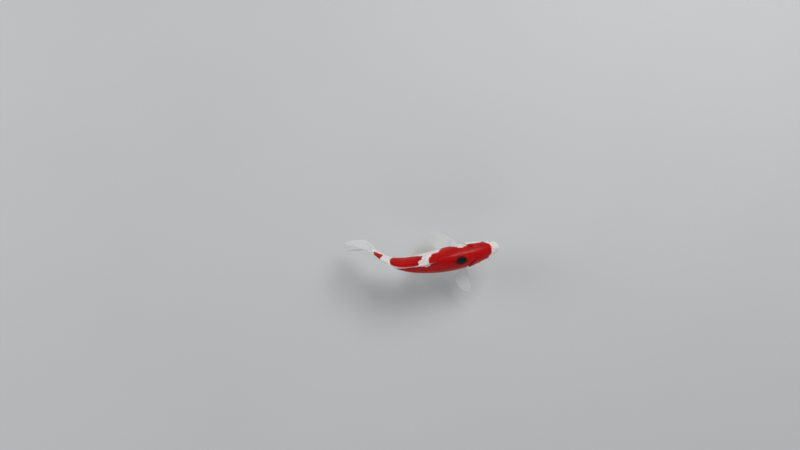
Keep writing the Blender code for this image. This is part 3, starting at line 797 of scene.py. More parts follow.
# %% A coat of scales for each side
SPARE_ROW, SPARE_FRONT = 0.35, 0.0015
OWN_COLOUR, SHARED_COLOUR = 0.55, 0.45
PATCH_WIDE, PATCH_LONG = 0.0015, 0.003


def coat(name, side, seed):
    """Scales of one side as one piece. Each takes its colours partly from its root, so a border steps from
    scale to scale, and lies on the unwrap at its root's place."""
    random = np.random.default_rng(seed)
    laid = []
    for station, arc, row in scale_roots():
        angles, arcs = arc_table(station)
        centre = float(np.interp(arc, arcs, angles))
        spare = SPARE_ROW * row_height(station)
        lowest, highest = np.interp((-90, 90), angles, arcs)
        beyond = arc > highest - spare or arc < lowest + spare
        if beyond or behind_hairline(station, centre) < SPARE_FRONT:
            continue
        tone = random.uniform(0, 1)
        root = (station, centre if side > 0 else 180 - centre)
        laid.append((*lay_scale(station, arc, side, random), root, (tone,), (float(row == 0),)))
    points, stations, wholes, roots, tones, middles = [np.array(values) for values in zip(*laid)]
    count, size = len(points), len(p) + len(RIM)
    shield = np.concatenate((np.arange(len(p)), RIM))
    shared = np.array(markings(*roots.T))
    own = np.array(markings(stations, wholes))
    red, black = (OWN_COLOUR * own + SHARED_COLOUR * shared[..., None])[..., shield]
    u, v = unwrap_place(*roots.T)
    unwrap = np.stack((u[:, None] + PATCH_WIDE * q, v[:, None] + PATCH_LONG * (p - 0.5)), -1)[:, shield]
    memory = {
        "red_depth": red, "black_depth": black, "scale_v": p[shield], "scale_u": q[shield],
        "tone": tones, "lateral": middles,
    }
    memory = {word: np.broadcast_to(values, (count, size)) for word, values in memory.items()}
    one = TOP_FACES + SIDE_FACES + [tuple(UNDER)]
    faces = [
        tuple(int(i) + first for i in (face[::-1] if side < 0 else face))
        for first in range(0, count * size, size) for face in one
    ]
    print(count, "scales")
    return build_coat(name, points.reshape(-1, 3), faces, unwrap.reshape(-1, 2), memory)


def build_coat(name, points, faces, unwrap, memory):
    data = bpy.data.meshes.new(name)
    data.from_pydata(points.tolist(), [], faces)
    layer = data.uv_layers.new(name="OFBake")
    corners = read(data.loops, "vertex_index", 1, np.int32).ravel()
    layer.data.foreach_set("uv", unwrap[corners].astype(np.float32).ravel())
    piece = bpy.data.objects.new(name, data)
    bpy.context.collection.objects.link(piece)
    for word, values in memory.items():
        remember(piece, word, values.ravel())
    shade(piece, SCALE_EDGES)
    report(piece)
    return piece


scales_left = coat("koi_scales_left", 1, 11)
scales_right = coat("koi_scales_right", -1, 12)

# %% [markdown]
# ## The fins
# A fin is a fan of bony rays with a clear membrane between them. The rays fork towards the edge of the fin,
# and the membrane draws back a little between their tips. Each fin is the same rubber sheet, this time
# folded like a purse: half of it is one face of the fin and half the other, and they meet all round. The
# rays stand out from the membrane in the mesh, and their finest branches are left to the material.

# %% A fin from its rays
RAY_HEIGHT, RAY_WIDTH = 0.00016, 0.13
MEMBRANE_ROOT, MEMBRANE_EDGE = 0.0011, 0.00045
FORK_START, FORK_END, FORK_SPREAD = 0.30, 1.0, 0.25
STEPS_PER_RAY = 8
SIDE_POWER, END_POWER = 40, 60
SCALLOP = 0.014
NEARBY = 0.004


def ray_ridge(cell, reach):
    """1 on a ray and 0 between two of them; each ray forks in two towards the edge."""
    apart = FORK_SPREAD * fade(reach, FORK_START, FORK_END)
    return hill(np.abs(cell % 1.0 - 0.5) - apart, RAY_WIDTH)


def fin(name, surface, rays, rows, ripple=0.0006, tinted=0.0):
    """surface(u, v) gives a point: u runs from the first ray to the last, and v from root to edge. tinted
    is the share of the rays, from the first, that take the red of the body at their roots."""

    def across(u, v):
        return surface(np.minimum(u + NEARBY, 1), v) - surface(np.maximum(u - NEARBY, 0), v)

    def shape(a, v):
        u = 1 - np.abs(2 * a - 1)
        face = np.where(a < 0.5, 1.0, -1.0)
        along = surface(u, v + NEARBY) - surface(u, v - NEARBY)
        normal = unit(np.cross(unit(across(u, v) + 1e-4 * unit(across(u, v + 0.02))), along))
        rim = np.sqrt(np.maximum(1 - np.abs(2 * u - 1) ** SIDE_POWER, 0))
        rim = rim * np.sqrt(np.maximum(1 - np.maximum(v, 1 - v) ** END_POWER, 0)) * fade(v, -0.01, 0.05)
        membrane = (MEMBRANE_ROOT + (MEMBRANE_EDGE - MEMBRANE_ROOT) * v) / 2
        ridge = RAY_HEIGHT * ray_ridge(u * rays, v) * (1.15 - 0.6 * v) * fade(v, 0, 0.1)
        wave = ripple * v * v * (np.sin(u * 11 + v * 2.2) + 0.5 * np.sin(u * 23 - v * 3.1 + 1.0))
        offset = face * (membrane + ridge) * rim + wave
        drawn_back = 1 - SCALLOP * (2 * np.abs((u * rays) % 1.0 - 0.5)) ** 2 * fade(v, 0.6, 1.0)
        tint = fade(u, tinted, 0.4 * tinted - 0.01) * fade(v, 0.75, 0.25)
        points = surface(u, v * drawn_back) + normal * offset[:, None]
        return points, {"ray": u * rays, "reach": v, "tint": tint}

    piece = sheet(name, 2 * rays * STEPS_PER_RAY, rows, shape)
    report(piece)
    return piece


# %% [markdown]
# The long fin of the back is half folded and leans to the fish's right, with a high first ray and a hollow
# edge behind it. The short fin under the tail has the same build.

# %% Fins of the back and the belly
DORSAL_LEAN = math.radians(6)
DORSAL_SUNK, ANAL_SUNK = 0.003, 0.002
DORSAL_HEIGHTS = ((0.0, 0.138), (0.06, 0.144), (0.22, 0.112), (0.45, 0.084), (0.8, 0.072), (1.0, 0.074))
DORSAL_SWEEPS = ((0.0, 52.0), (0.3, 57.0), (1.0, 66.0))
ANAL_LENGTHS = ((0.0, 0.124), (0.12, 0.132), (0.45, 0.108), (1.0, 0.072))
ANAL_SWEEP, ANAL_FAN = 50, 18


def long_fin(ends, edge, sunk, side, lean, lengths, sweep_at):
    """The surface of a fin on a midline: side is 1 on the back and -1 on the belly."""

    def surface(u, v):
        station = ends[0] + (ends[1] - ends[0]) * u
        foot = place(station, 0.0, smooth(edge, station) * LENGTH - side * sunk)
        tailward, left, up = directions(station)
        sweep = np.radians(sweep_at(u))[:, None]
        away = side * (up * math.cos(lean) - left * math.sin(lean))
        reach = (smooth(lengths, u) * LENGTH * v)[:, None]
        return foot + (tailward * np.sin(sweep) + away * np.cos(sweep)) * reach

    return surface


on_back = long_fin(
    DORSAL, BACK, DORSAL_SUNK, 1, DORSAL_LEAN, DORSAL_HEIGHTS, lambda u: smooth(DORSAL_SWEEPS, u)
)
on_belly = long_fin(ANAL, BELLY, ANAL_SUNK, -1, 0.0, ANAL_LENGTHS, lambda u: ANAL_SWEEP + ANAL_FAN * u)
dorsal = fin("koi_dorsal_fin", on_back, rays=20, rows=44, tinted=0.30)
anal = fin("koi_anal_fin", on_belly, rays=8, rows=44)

# %% [markdown]
# The tail fin is forked. Its rays leave the end of the body close together and open quickly, and both lobes
# curl towards the fish's left, as the sweep of the tail leaves them.

# %% Tail fin
TAIL_ROOT = 0.992
TAIL_ROOT_HEIGHT = 0.051
TAIL_SPAN = 0.132
TAIL_LENGTH = 0.238
TAIL_FLARE = 0.062
TAIL_LENGTHS = ((0.0, 0.53), (0.35, 0.63), (0.7, 0.84), (0.9, 1.0), (1.0, 0.93))
UPPER_CURL, LOWER_CURL = 20.0, 24.0


def tail_surface(w, v):
    """w runs from the first ray of the upper lobe, through the fork, to the last ray of the lower lobe."""
    lobe = np.abs(1 - 2 * w)
    side = np.where(w < 0.5, 1.0, -1.0)
    curl = np.where(w < 0.5, UPPER_CURL, LOWER_CURL)
    ahead = smooth(TAIL_LENGTHS, lobe) * TAIL_LENGTH * v
    opening = (1 - np.exp(-ahead / TAIL_FLARE)) / (1 - math.exp(-TAIL_LENGTH / TAIL_FLARE))
    height = TAIL_ROOT_HEIGHT * lobe + (TAIL_SPAN - TAIL_ROOT_HEIGHT) * lobe**1.1 * opening
    turn = np.radians(curl) * (0.5 + 0.5 * height / TAIL_SPAN) * np.clip(2.2 * v, 0, 1)
    return place(TAIL_ROOT + ahead, height * np.sin(turn) * LENGTH, side * height * np.cos(turn) * LENGTH)


tail = fin("koi_tail_fin", tail_surface, rays=19, rows=70, ripple=0.0008)

# %% [markdown]
# The paired fins are short-rooted fans. The right pectoral is held straight out and the left one is swept
# back, as the fish turns; the pelvics trail under the belly.

# %% Pectoral and pelvic fins
FIN_DROOP, FOOT_SUNK = 0.003, 0.0022
ROOT_TAILWARD, ROOT_DOWN, ROOT_INWARD = 0.92, 0.30, 0.25
PECTORAL = {
    "foot_at": PECTORAL_FOOT, "root_length": 0.012, "size": 0.0705, "rays": 15,
    "shape": ((0.0, 0.95), (0.15, 1.0), (0.4, 0.94), (0.7, 0.77), (1.0, 0.50)),
}
PELVIC = {
    "foot_at": PELVIC_FOOT, "root_length": 0.009, "size": 0.045, "rays": 9,
    "shape": ((0.0, 0.94), (0.2, 1.0), (0.6, 0.84), (1.0, 0.55)),
}
SWEPT = ((0.46, 0.84, -0.22), (0.94, 0.20, -0.30))
HELD_OUT = ((-0.02, 0.96, -0.24), (0.54, 0.74, -0.36))
SPREAD_OUT = ((0.80, 0.34, -0.50), (0.97, 0.03, -0.28))


def paired_fin(name, side, headings, sweep, foot_at, root_length, size, shape, rays):
    """headings are those of the first and the last ray, as shares tailward, outwards and up. sweep is how far
    the tips bend back, and shape how long each ray is."""
    station, elevated = foot_at
    angle = side_angle(side, elevated)
    tailward, left, up = directions(station)
    foot = body_point(station, angle) - body_normal(station, angle) * FOOT_SUNK
    lead, trail = [unit(tailward * a + left * side * b + up * c) for a, b, c in headings]
    spread = unit(tailward * ROOT_TAILWARD - up * ROOT_DOWN - left * side * ROOT_INWARD)

    def surface(u, v):
        u = u[:, None]
        heading = unit(lead * (1 - u) + trail * u)
        reach = (smooth(shape, u[:, 0]) * size * v)[:, None]
        bent = (reach / (shape[0][1] * size)) ** 2
        drift = (tailward * sweep - up * FIN_DROOP) * bent
        return foot + spread * (u * root_length) + heading * reach + drift

    return fin(name, surface, rays, rows=52)


pectorals = [
    paired_fin("koi_pectoral_fin_left", 1, SWEPT, 0.014, **PECTORAL),
    paired_fin("koi_pectoral_fin_right", -1, HELD_OUT, 0.003, **PECTORAL),
]
pelvics = [
    paired_fin("koi_pelvic_fin_" + word, side, SPREAD_OUT, 0.002, **PELVIC)
    for side, word in ((1, "left"), (-1, "right"))
]

# %% [markdown]
# ## The eyes
# A museum eye is a glass ball set from outside. It starts as a sphere whose pole looks out of the head. The
# cap round the pole is inset, which leaves the groove round the cornea, and is then pushed out a little, so
# that the highlight sits on the cornea as on a wet eye. The skin's rim closes on it, as lids would.

# %% Two glass eyes
CORNEA_CAP, CORNEA_PROUD = 0.62, 0.00028
GROOVE_WIDTH, GROOVE_DEPTH = 0.00022, 0.00008
LEVEL = 0.999


def select(piece, kind, wanted):
    """Selects the wanted faces or edges in edit mode. wanted takes a face, or the ends of an edge."""
    edit(True)
    bpy.ops.mesh.select_mode(type=kind)
    bpy.ops.mesh.select_all(action="DESELECT")
    edit(False)
    for face in piece.data.polygons if kind == "FACE" else ():
        face.select = wanted(face)
    for edge in piece.data.edges if kind == "EDGE" else ():
        edge.select = wanted(*[piece.data.vertices[i].co for i in edge.vertices])
    edit(True)


def glass_eye(name, side):
    centre, outward = eye_axis(side)
    outward = Vector(outward)
    eye = start(
        name, bpy.ops.mesh.primitive_uv_sphere_add, segments=64, ring_count=44, radius=EYE_RADIUS,
        location=centre, rotation=outward.to_track_quat("Z", "Y").to_euler(),
    )
    bpy.ops.object.transform_apply(location=True, rotation=True, scale=True)
    centre = Vector(centre)
    select(eye, "FACE", lambda face: (face.center - centre).dot(outward) > CORNEA_CAP * EYE_RADIUS)
    bpy.ops.mesh.inset(thickness=GROOVE_WIDTH, depth=-GROOVE_DEPTH)
    bpy.ops.transform.translate(value=outward * CORNEA_PROUD)
    bpy.ops.mesh.normals_make_consistent(inside=False)
    edit(False)
    turns = [math.degrees((vertex.co - centre).angle(outward)) for vertex in eye.data.vertices]
    remember(eye, "eye_turn", np.array(turns))
    eye.data.uv_layers[0].name = "OFBake"
    shade(eye, SOFT_EDGES)
    report(eye)
    return eye


eyes = [glass_eye("koi_eye_left", 1), glass_eye("koi_eye_right", -1)]

# %% [markdown]
# ## The stand
# A plain base and two rods hold the fish. The base is a block with round corners, a soft top edge and a
# fine groove inside that edge: bevel and inset do all of it. Each rod stands in a small turned collar.

# %% Base of the stand
base_low, base_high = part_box("stand_base")
BASE_SIZE = (0.042, 0.128, 0.012)
BASE_CORNER, BASE_EDGE = 0.014, 0.0020
BASE_GROOVE = ((0.0045, 0.0), (0.0005, -0.0006), (0.0006, 0.0), (0.0005, 0.0006))
ROD_RADIUS = 0.003
ROD_NODES = ("stand_rod_front", "stand_rod_rear")
rod_boxes = [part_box(node) for node in ROD_NODES]
ROD_FEET = [(low + high) / 2 for low, high in rod_boxes]
ROD_TOPS = [high.z for low, high in rod_boxes]
chord = (ROD_FEET[1] - ROD_FEET[0]).to_2d()
BASE_TURN = math.atan2(-chord.x, chord.y)
print("base turned by", round(math.degrees(BASE_TURN), 1), "degrees")

middle = (base_low + base_high) / 2
turned = (0, 0, BASE_TURN)
board = start("stand_board", bpy.ops.mesh.primitive_cube_add, size=1, location=middle, rotation=turned)
board.scale = BASE_SIZE
bpy.ops.object.transform_apply(location=False, rotation=False, scale=True)
top = BASE_SIZE[2] / 2
select(board, "EDGE", lambda a, b: abs(a.z - b.z) > top)
bpy.ops.mesh.bevel(offset=BASE_CORNER, segments=12, affect="EDGES")
edit(False)
select(board, "EDGE", lambda a, b: min(a.z, b.z) > top - 1e-6)
bpy.ops.mesh.bevel(offset=BASE_EDGE, segments=5, affect="EDGES")
edit(False)
select(board, "FACE", lambda face: face.normal.z > LEVEL)
for width, rise in BASE_GROOVE:
    bpy.ops.mesh.inset(thickness=width, depth=rise)
edit(False)
bpy.ops.object.transform_apply(location=True, rotation=True, scale=True)
shade(board, STAND_EDGES)
report(board)

# %% Rods with their collars
ROD_ENTERS, ROD_SUNK, ROD_RIM = 0.0012, 0.0010, 0.0002
COLLAR_RADIUS, COLLAR_HEIGHT, COLLAR_SUNK = 0.0075, 0.0040, 0.0002
COLLAR_TURNS = ((0.0016, 0.0012), (0.0018, 0.0016))
COLLAR_EDGE = 0.00035


def cylinder(name, radius, foot, bottom, height):
    made = start(
        name, bpy.ops.mesh.primitive_cylinder_add, vertices=48, radius=radius, depth=height,
        location=(foot.x, foot.y, bottom + height / 2),
    )
    bpy.ops.object.transform_apply(location=True, rotation=True, scale=True)
    return made


def stand_rod(name, foot, top_height):
    bottom = base_high.z - ROD_SUNK
    rod = cylinder(name, ROD_RADIUS, foot, bottom, top_height + ROD_ENTERS - bottom)
    select(rod, "FACE", lambda face: face.normal.z < -LEVEL)
    bpy.ops.mesh.inset(thickness=ROD_RIM)
    edit(False)
    shade(rod, STAND_EDGES)
    collar = cylinder("collar", COLLAR_RADIUS, foot, base_high.z - COLLAR_SUNK, COLLAR_HEIGHT)
    select(collar, "FACE", lambda face: face.normal.z > LEVEL)
    for width, rise in COLLAR_TURNS:
        bpy.ops.mesh.inset(thickness=width)
        bpy.ops.transform.translate(value=(0, 0, rise))
    edit(False)
    select(collar, "EDGE", lambda a, b: min(a.z, b.z) > base_high.z and abs(a.z - b.z) < 1e-6)
    bpy.ops.mesh.bevel(offset=COLLAR_EDGE, segments=3, affect="EDGES")
    edit(False)
    shade(collar, STAND_EDGES)
    made = join([rod, collar], name)
    report(made)
    return made


posts = [
    stand_rod("stand_post_" + word, foot, top_height)
    for word, foot, top_height in zip(("front", "rear"), ROD_FEET, ROD_TOPS)
]

# %% [markdown]
# ## Finishes
# A finish is a small network of nodes. Written node by node it is long and hard to read, so what a node
# gives is wrapped as a value that adds and multiplies like a number, and each sum makes its own node.

# %% Values of a finish
class Value:
    """What a node gives. Plain sums with it make the nodes that do them."""

    def __init__(self, tree, socket):
        self.tree, self.socket = tree, socket

    def math(self, operation, *others):
        return add(self.tree, "Math", dict(enumerate((self, *others))), operation=operation)

    def __add__(self, other):
        return self.math("ADD", other)

    def __sub__(self, other):
        return self.math("SUBTRACT", other)

    def __mul__(self, other):
        return self.math("MULTIPLY", other)

    def __truediv__(self, other):
        return self.math("DIVIDE", other)

    def __pow__(self, power):
        return self.math("POWER", power)

    def __abs__(self):
        return self.math("ABSOLUTE")

    def step(self, low, high, to_low=0.0, to_high=1.0):
        """A soft step: to_low at low, and to_high at high."""
        values = {0: self, 1: low, 2: high, 3: to_low, 4: to_high}
        return add(self.tree, "MapRange", values, interpolation_type="SMOOTHSTEP")

    def mix(self, one, other):
        """One colour where the value is 0, and the other where it is 1."""
        return add(self.tree, "Mix", {0: self, 6: one, 7: other}, output=2, data_type="RGBA")


# %% Helpers for finishes
def finish(name):
    made = bpy.data.materials.new(name)
    made.use_nodes = True
    return made, made.node_tree, made.node_tree.nodes["Principled BSDF"]


def fill(tree, node, values):
    """Gives the sockets of a node their numbers and colours, or what another node gives."""
    for word, value in values.items():
        if isinstance(value, Value):
            tree.links.new(value.socket, node.inputs[word])
        else:
            node.inputs[word].default_value = value


def add(tree, kind, values, output=0, **settings):
    node = tree.nodes.new("ShaderNode" + kind)
    for word, setting in settings.items():
        setattr(node, word, setting)
    fill(tree, node, values)
    return Value(tree, node.outputs[output])


def remembered(tree, word):
    return add(tree, "Attribute", {}, "Fac", attribute_name=word)


def object_place(tree):
    return add(tree, "TexCoord", {}, "Object")


def noise(tree, scale, detail=3.0, roughness=0.5, vector=None):
    vector = vector or object_place(tree)
    values = {"Scale": scale, "Detail": detail, "Roughness": roughness, "Vector": vector}
    return add(tree, "TexNoise", values)


def mapping(vector, kind="POINT", **values):
    return add(vector.tree, "Mapping", {"Vector": vector, **values}, vector_type=kind)


def raised(height, strength, distance=0.0003):
    """A relief too fine for the mesh."""
    return add(height.tree, "Bump", {"Height": height, "Strength": strength, "Distance": distance})


def coated(weight, roughness):
    return {"Coat Weight": weight, "Coat Roughness": roughness}


def give(finish_made, *pieces):
    for piece in pieces:
        piece.data.materials.clear()
        piece.data.materials.append(finish_made)


# %% [markdown]
# ## Colour of skin and scales
# The pattern is read from the depths that the vertices remember. A little noise makes the borders as uneven
# as the real ones, which follow the scales. Deep inside a patch the red is even, and at its rim it thins to
# orange. The black lies deeper in the skin, so it has a dull red halo.

# %% The koi's colours
RED_DEEP = (0.40, 0.001, 0.001, 1)
RED_BRIGHT = (0.54, 0.001, 0.001, 1)
RED_RIM = (0.74, 0.050, 0.020, 1)
WHITE = (0.80, 0.77, 0.74, 1)
WHITE_PINK = (0.78, 0.62, 0.57, 1)
BLACK = (0.006, 0.008, 0.009, 1)
BLACK_HALO = (0.12, 0.004, 0.004, 1)
# Colours of painted shade: in the openings of the head, and in the pores of the lateral line.
HOLLOW_SHADE_COLOUR, PORE_SHADE_COLOUR = (0.07, 0.012, 0.012, 1), (0.10, 0.03, 0.03, 1)
# Colours of the painted shade at the rim and the root of each scale, on red and on white.
RED_SCALE_SHADE, WHITE_SCALE_SHADE = (0.38, 0.001, 0.001, 1), (0.60, 0.50, 0.50, 1)


def koi_colour(tree):
    """The colour, and the shares of red and of black."""
    uneven = (noise(tree, 300, 4) - 0.5) * 0.0022
    red_at = remembered(tree, "red_depth") + uneven
    black_at = remembered(tree, "black_depth") + uneven
    red_share = red_at.step(-0.00022, 0.00028)
    black_share = black_at.step(-0.0004, 0.0030)
    halo = black_at.step(-0.0030, 0.0014, 0.0, 0.90)
    white = noise(tree, 28, 4).step(0.45, 0.75).mix(WHITE, WHITE_PINK)
    red = noise(tree, 35, 3).step(0.35, 0.70).mix(RED_DEEP, RED_BRIGHT)
    red = red_at.step(0.0, 0.0022).mix(RED_RIM, red)
    colour = (halo * red_share).mix(red_share.mix(white, red), BLACK_HALO)
    return black_share.mix(colour, BLACK), red_share, black_share


# The gloss of wet skin is a clear coat, and the light that sinks in comes out red.
WET = {
    **coated(0.14, 0.14), "Specular IOR Level": 0.10, "Subsurface Weight": 0.12,
    "Subsurface Radius": (1.0, 0.35, 0.22), "Subsurface Scale": 0.003,
}

# %% Finish of the bare skin
skin_finish, tree, shader = finish("koi_skin_finish")
colour, red_share, black_share = koi_colour(tree)
folds = noise(tree, 220, 5, 0.6)
# The colour is darkened to painted shade in the mouth, the nostrils and the gill slit.
fill(tree, shader, {
    "Base Color": (remembered(tree, "hollow_shade") * 0.85).mix(colour, HOLLOW_SHADE_COLOUR),
    "Roughness": folds.step(0.3, 0.7, 0.44, 0.58),
    "Normal": raised(noise(tree, 1500, 2) * 0.35 + folds, 0.35), **WET,
})
give(skin_finish, skin)

# %% [markdown]
# A scale is thin and clear, so what shows is the pocket of skin that it sits in, with very fine growth rings.
# Its rim and the part near its root are painted darker, as shade of the pocket and of the scale over it, so
# its middle is brighter. The scales of the middle row have the pores of the lateral line, with painted shade
# in each.

# %% Finish of the scales
scale_finish, tree, shader = finish("koi_scale_finish")
colour, red_share, black_share = koi_colour(tree)
scale_v, scale_u = remembered(tree, "scale_v"), remembered(tree, "scale_u")
outwards = scale_v**2.0 + scale_u * scale_u * 0.55
# Painted shade of the scale pockets: the colour that rims and roots are darkened towards.
scale_shade = black_share.mix(red_share.mix(WHITE_SCALE_SHADE, RED_SCALE_SHADE), BLACK)
tone = remembered(tree, "tone").step(0.0, 1.0, 0.93, 1.06)
colour = add(tree, "HueSaturation", {"Value": tone, "Color": colour, "Fac": 1.0})
# Painted shade round the rim of each scale, and towards its root, under the scale in front.
colour = (outwards.step(0.72, 1.18) * 0.42).mix(colour, scale_shade)
colour = (scale_v.step(0.62, 0.40) * 0.5).mix(colour, scale_shade)
# Each pore of the lateral line is a small pit, coloured dark as painted shade inside it.
from_pore = (scale_u / 0.12) ** 2.0 + ((scale_v - 0.78) / 0.10) ** 2.0
pore = from_pore.step(1.0, 0.35) * remembered(tree, "lateral")
rings = (outwards * 70.0).math("SINE")
fill(tree, shader, {
    "Base Color": (pore * 0.30).mix(colour, PORE_SHADE_COLOUR),
    "Roughness": noise(tree, 160, 3).step(0.3, 0.7, 0.42, 0.56),
    "Normal": raised(rings * 0.05 + noise(tree, 420, 4) * 0.5 - pore * 1.2, 0.30), **WET,
})
give(scale_finish, scales_left, scales_right)

# %% [markdown]
# ## Fins and eyes
# The membrane lets light through and the rays don't, so the same lines that colour the rays also set how
# clear the fin is. Each ray forks twice, and is jointed like a string of beads.

# %% Finish of the fins
FIN_MEMBRANE, FIN_RAY = (0.74, 0.78, 0.80, 1), (0.83, 0.82, 0.79, 1)
FIN_JOINT, FIN_ROOT_FLESH = (0.52, 0.50, 0.50, 1), (0.80, 0.74, 0.70, 1)
fin_finish, tree, shader = finish("koi_fin_finish")
ray, reach = remembered(tree, "ray"), remembered(tree, "reach")
cell = abs(ray.math("FRACT") - 0.5)
cell = abs(cell - reach.step(FORK_START, FORK_END, 0.0, FORK_SPREAD))
cell = abs(cell - reach.step(0.60, 1.05, 0.0, 0.11))
line = cell.step(reach.step(0.0, 1.0, 0.30, 0.075), 0.035)
joint = (reach * 190.0).math("SINE").step(0.2, 0.95) * reach.step(0.15, 0.35) * line
tint = remembered(tree, "tint")
colour = (joint * 0.35).mix(line.mix(FIN_MEMBRANE, FIN_RAY), FIN_JOINT)
colour = reach.step(0.28, 0.04).mix(colour, FIN_ROOT_FLESH)
clear = reach.step(0.05, 0.40, 0.92, 0.34).math("MAXIMUM", tint)
fill(tree, shader, {
    "Base Color": tint.mix(colour, RED_DEEP), "Roughness": noise(tree, 300, 3).step(0.3, 0.7, 0.26, 0.42),
    "Alpha": clear.math("MAXIMUM", line * reach.step(0.5, 1.0, 0.90, 0.62)),
    "Normal": raised(line - joint * 0.5, 0.35, 0.0002), **coated(0.4, 0.12),
})
give(fin_finish, dorsal, anal, tail, *pectorals, *pelvics)

# %% Finish of the eyes
PUPIL, IRIS_EDGE = 25.0, 42.0
IRIS_BROWN, IRIS_GOLD = (0.16, 0.075, 0.02, 1), (0.42, 0.27, 0.10, 1)
IRIS_OUTER, GOLD_RING = (0.16, 0.07, 0.03, 1), (0.72, 0.55, 0.26, 1)
# The last colour is painted shade for the ball inside its socket.
PUPIL_BLACK, SOCKET_SHADE_COLOUR = (0.002, 0.002, 0.003, 1), (0.03, 0.015, 0.012, 1)
eye_finish, tree, shader = finish("koi_eye_finish")
turn = remembered(tree, "eye_turn")
iris = noise(tree, 2200, 4, 0.7).step(0.35, 0.70).mix(IRIS_BROWN, IRIS_GOLD)
iris = turn.step(PUPIL + 6, IRIS_EDGE - 2).mix(iris, IRIS_OUTER)
ring = turn.step(PUPIL + 0.5, PUPIL + 1.5) * turn.step(PUPIL + 4.0, PUPIL + 2.5)
colour = turn.step(PUPIL + 0.8, PUPIL).mix(ring.mix(iris, GOLD_RING), PUPIL_BLACK)
# Painted shade on the part of the ball past the iris, which sits in the socket.
colour = turn.step(IRIS_EDGE, IRIS_EDGE + 3).mix(colour, SOCKET_SHADE_COLOUR)
fill(tree, shader, {"Base Color": colour, "Roughness": 0.16, **coated(1.0, 0.015)})
give(eye_finish, *eyes)

# %% [markdown]
# ## Finish of the stand
# The base is pale close-grained wood under satin varnish. Its grain is noise stretched along the board,
# turned to lie with it. The rods are brushed steel.

# %% Wood and steel
WOOD_LIGHT, WOOD_DARK = (0.60, 0.52, 0.41, 1), (0.47, 0.38, 0.27, 1)
STEEL_DULL, STEEL_BRIGHT = (0.58, 0.59, 0.60, 1), (0.64, 0.64, 0.63, 1)
wood_finish, tree, shader = finish("stand_wood_finish")
along_board = mapping(object_place(tree), "TEXTURE", Rotation=(0, 0, -BASE_TURN))
laid = mapping(along_board, Scale=(1.0, 0.055, 1.0))
bands = abs((noise(tree, 34, 3, 0.5, laid) * 16.0).math("FRACT") - 0.5).step(0.0, 0.5)
fibre = noise(tree, 900, 5, 0.65, laid)
colour = (bands * 0.55).mix(WOOD_LIGHT, WOOD_DARK)
fill(tree, shader, {
    "Base Color": fibre.step(0.48, 0.72, 0.0, 0.35).mix(colour, WOOD_DARK),
    "Roughness": fibre.step(0.3, 0.7, 0.34, 0.48),
    "Normal": raised(fibre, 0.25, 0.0002), **coated(0.3, 0.25),
})
give(wood_finish, board)

steel_finish, tree, shader = finish("stand_steel_finish")
brushed = noise(tree, 800, 4, 0.6, mapping(object_place(tree), Scale=(1.0, 1.0, 0.03)))
fill(tree, shader, {
    "Base Color": brushed.mix(STEEL_DULL, STEEL_BRIGHT), "Metallic": 1.0,
    "Roughness": brushed.step(0.2, 0.8, 0.24, 0.34), "Normal": raised(brushed, 0.05, 0.00005),
})
give(steel_finish, *posts)

# %% [markdown]
# ## Bodies, floor, light and camera
# Every piece rides on the one body of the model, and the solids that it stands for are hidden. The floor
# and the lights are a plain photo studio. The camera looks straight down, from where the fish is small in a
# wide view.

# %% What each piece stands for
FLESH = (
    "head", "lower_jaw", "gill_cover_left", "gill_cover_right", "trunk_front", "trunk_middle", "trunk_rear",
    "tail_stalk", "barbel_front_left", "barbel_front_right", "barbel_rear_left", "barbel_rear_right",
)
STANDS_FOR = (
    (skin, "red_skin", FLESH),
    (scales_left, "red_skin", ()),
    (scales_right, "red_skin", ()),
    (dorsal, "fin", ("dorsal_fin",)),
    (anal, "fin", ("anal_fin",)),
    (tail, "fin", ("tail_fin_upper", "tail_fin_lower")),
    (pectorals[0], "fin", ("pectoral_fin_left",)),
    (pectorals[1], "fin", ("pectoral_fin_right",)),
    (pelvics[0], "fin", ("pelvic_fin_left",)),
    (pelvics[1], "fin", ("pelvic_fin_right",)),
    (eyes[0], "eye", ("eye_left",)),
    (eyes[1], "eye", ("eye_right",)),
    (board, "base", ("stand_base",)),
    (posts[0], "rod", ("stand_rod_front",)),
    (posts[1], "rod", ("stand_rod_rear",)),
)
for piece, slot, nodes in STANDS_FOR:
    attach(piece, "root")
    if nodes:
        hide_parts(*nodes)
print(len(STANDS_FOR), "pieces ride on the model")

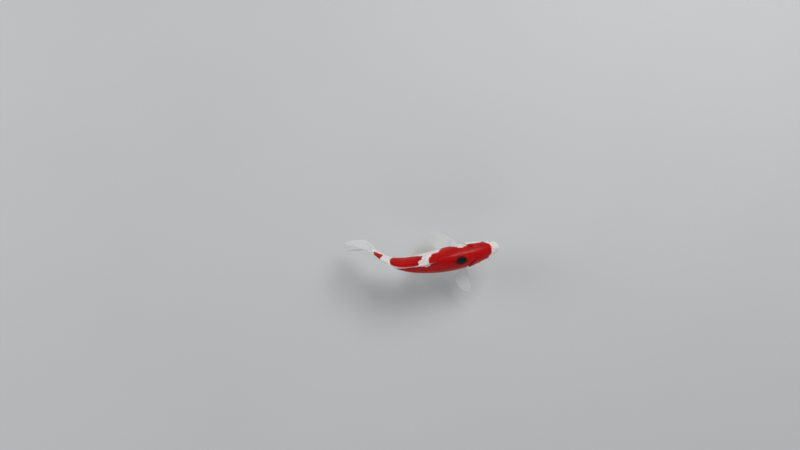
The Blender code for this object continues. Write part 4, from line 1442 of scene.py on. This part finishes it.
# %% Floor, which glows far off so that it runs into the backdrop
FLOOR_SIZE = 40
HORIZON, OVERHEAD = (0.62, 0.64, 0.67, 1), (0.16, 0.17, 0.18, 1)
FLOOR_PALE, FLOOR_PALER = (0.61, 0.62, 0.62, 1), (0.64, 0.64, 0.64, 1)
FLOOR_LIT, FLOOR_GLOWS = 0.5, 3.5
floor = start("floor", bpy.ops.mesh.primitive_plane_add, size=FLOOR_SIZE)
floor_finish, tree, shader = finish("floor_finish")
far = add(tree, "VectorMath", {0: object_place(tree)}, "Value", operation="LENGTH")
far = far.step(FLOOR_LIT, FLOOR_GLOWS)
near_colour = noise(tree, 3, 2).mix(FLOOR_PALE, FLOOR_PALER)
fill(tree, shader, {
    "Base Color": far.mix(near_colour, (0, 0, 0, 1)), "Roughness": 0.75, "Specular IOR Level": 0.0,
    "Emission Color": HORIZON, "Emission Strength": far,
})
give(floor_finish, floor)

# %% Light
def soft_light(name, place_at, size, power):
    """A square lamp that looks at the fish."""
    lamp = bpy.data.lights.new(name, "AREA")
    lamp.size = size
    lamp.energy = power
    made = bpy.data.objects.new(name, lamp)
    made.location = place_at
    aim = Vector((0, 0, SPINE_HEIGHT)) - Vector(place_at)
    made.rotation_euler = aim.to_track_quat("-Z", "Y").to_euler()
    bpy.context.collection.objects.link(made)


soft_light("key_light", (1.5, -1.0, 2.1), 1.2, 38)
soft_light("fill_light", (-2.0, 0.5, 1.4), 1.6, 9)
soft_light("back_light", (0.6, 2.2, 1.5), 1.2, 14)
world = bpy.data.worlds.new("studio")
world.use_nodes = True
tree = world.node_tree
height = add(tree, "SeparateXYZ", {0: add(tree, "TexCoord", {}, "Generated")}, "Z")
fill(tree, tree.nodes["Background"], {"Color": height.step(0.05, 0.75).mix(HORIZON, OVERHEAD)})
bpy.context.scene.world = world
bpy.context.scene.view_settings.view_transform = "Standard"

# %% Camera
CAMERA_HEIGHT = 2.083
CAMERA_AHEAD, CAMERA_ASIDE = 0.2306, 0.0497
LENS, SENSOR = 40, 36
camera_data = bpy.data.cameras.new("camera")
camera_data.lens, camera_data.sensor_width = LENS, SENSOR
camera = bpy.data.objects.new("camera", camera_data)
camera.location = (SNOUT_X + CAMERA_ASIDE, SNOUT_Y + CAMERA_AHEAD, SPINE_HEIGHT + CAMERA_HEIGHT)
camera.rotation_euler = (0, 0, -math.pi / 2)
bpy.context.collection.objects.link(camera)
bpy.context.scene.camera = camera
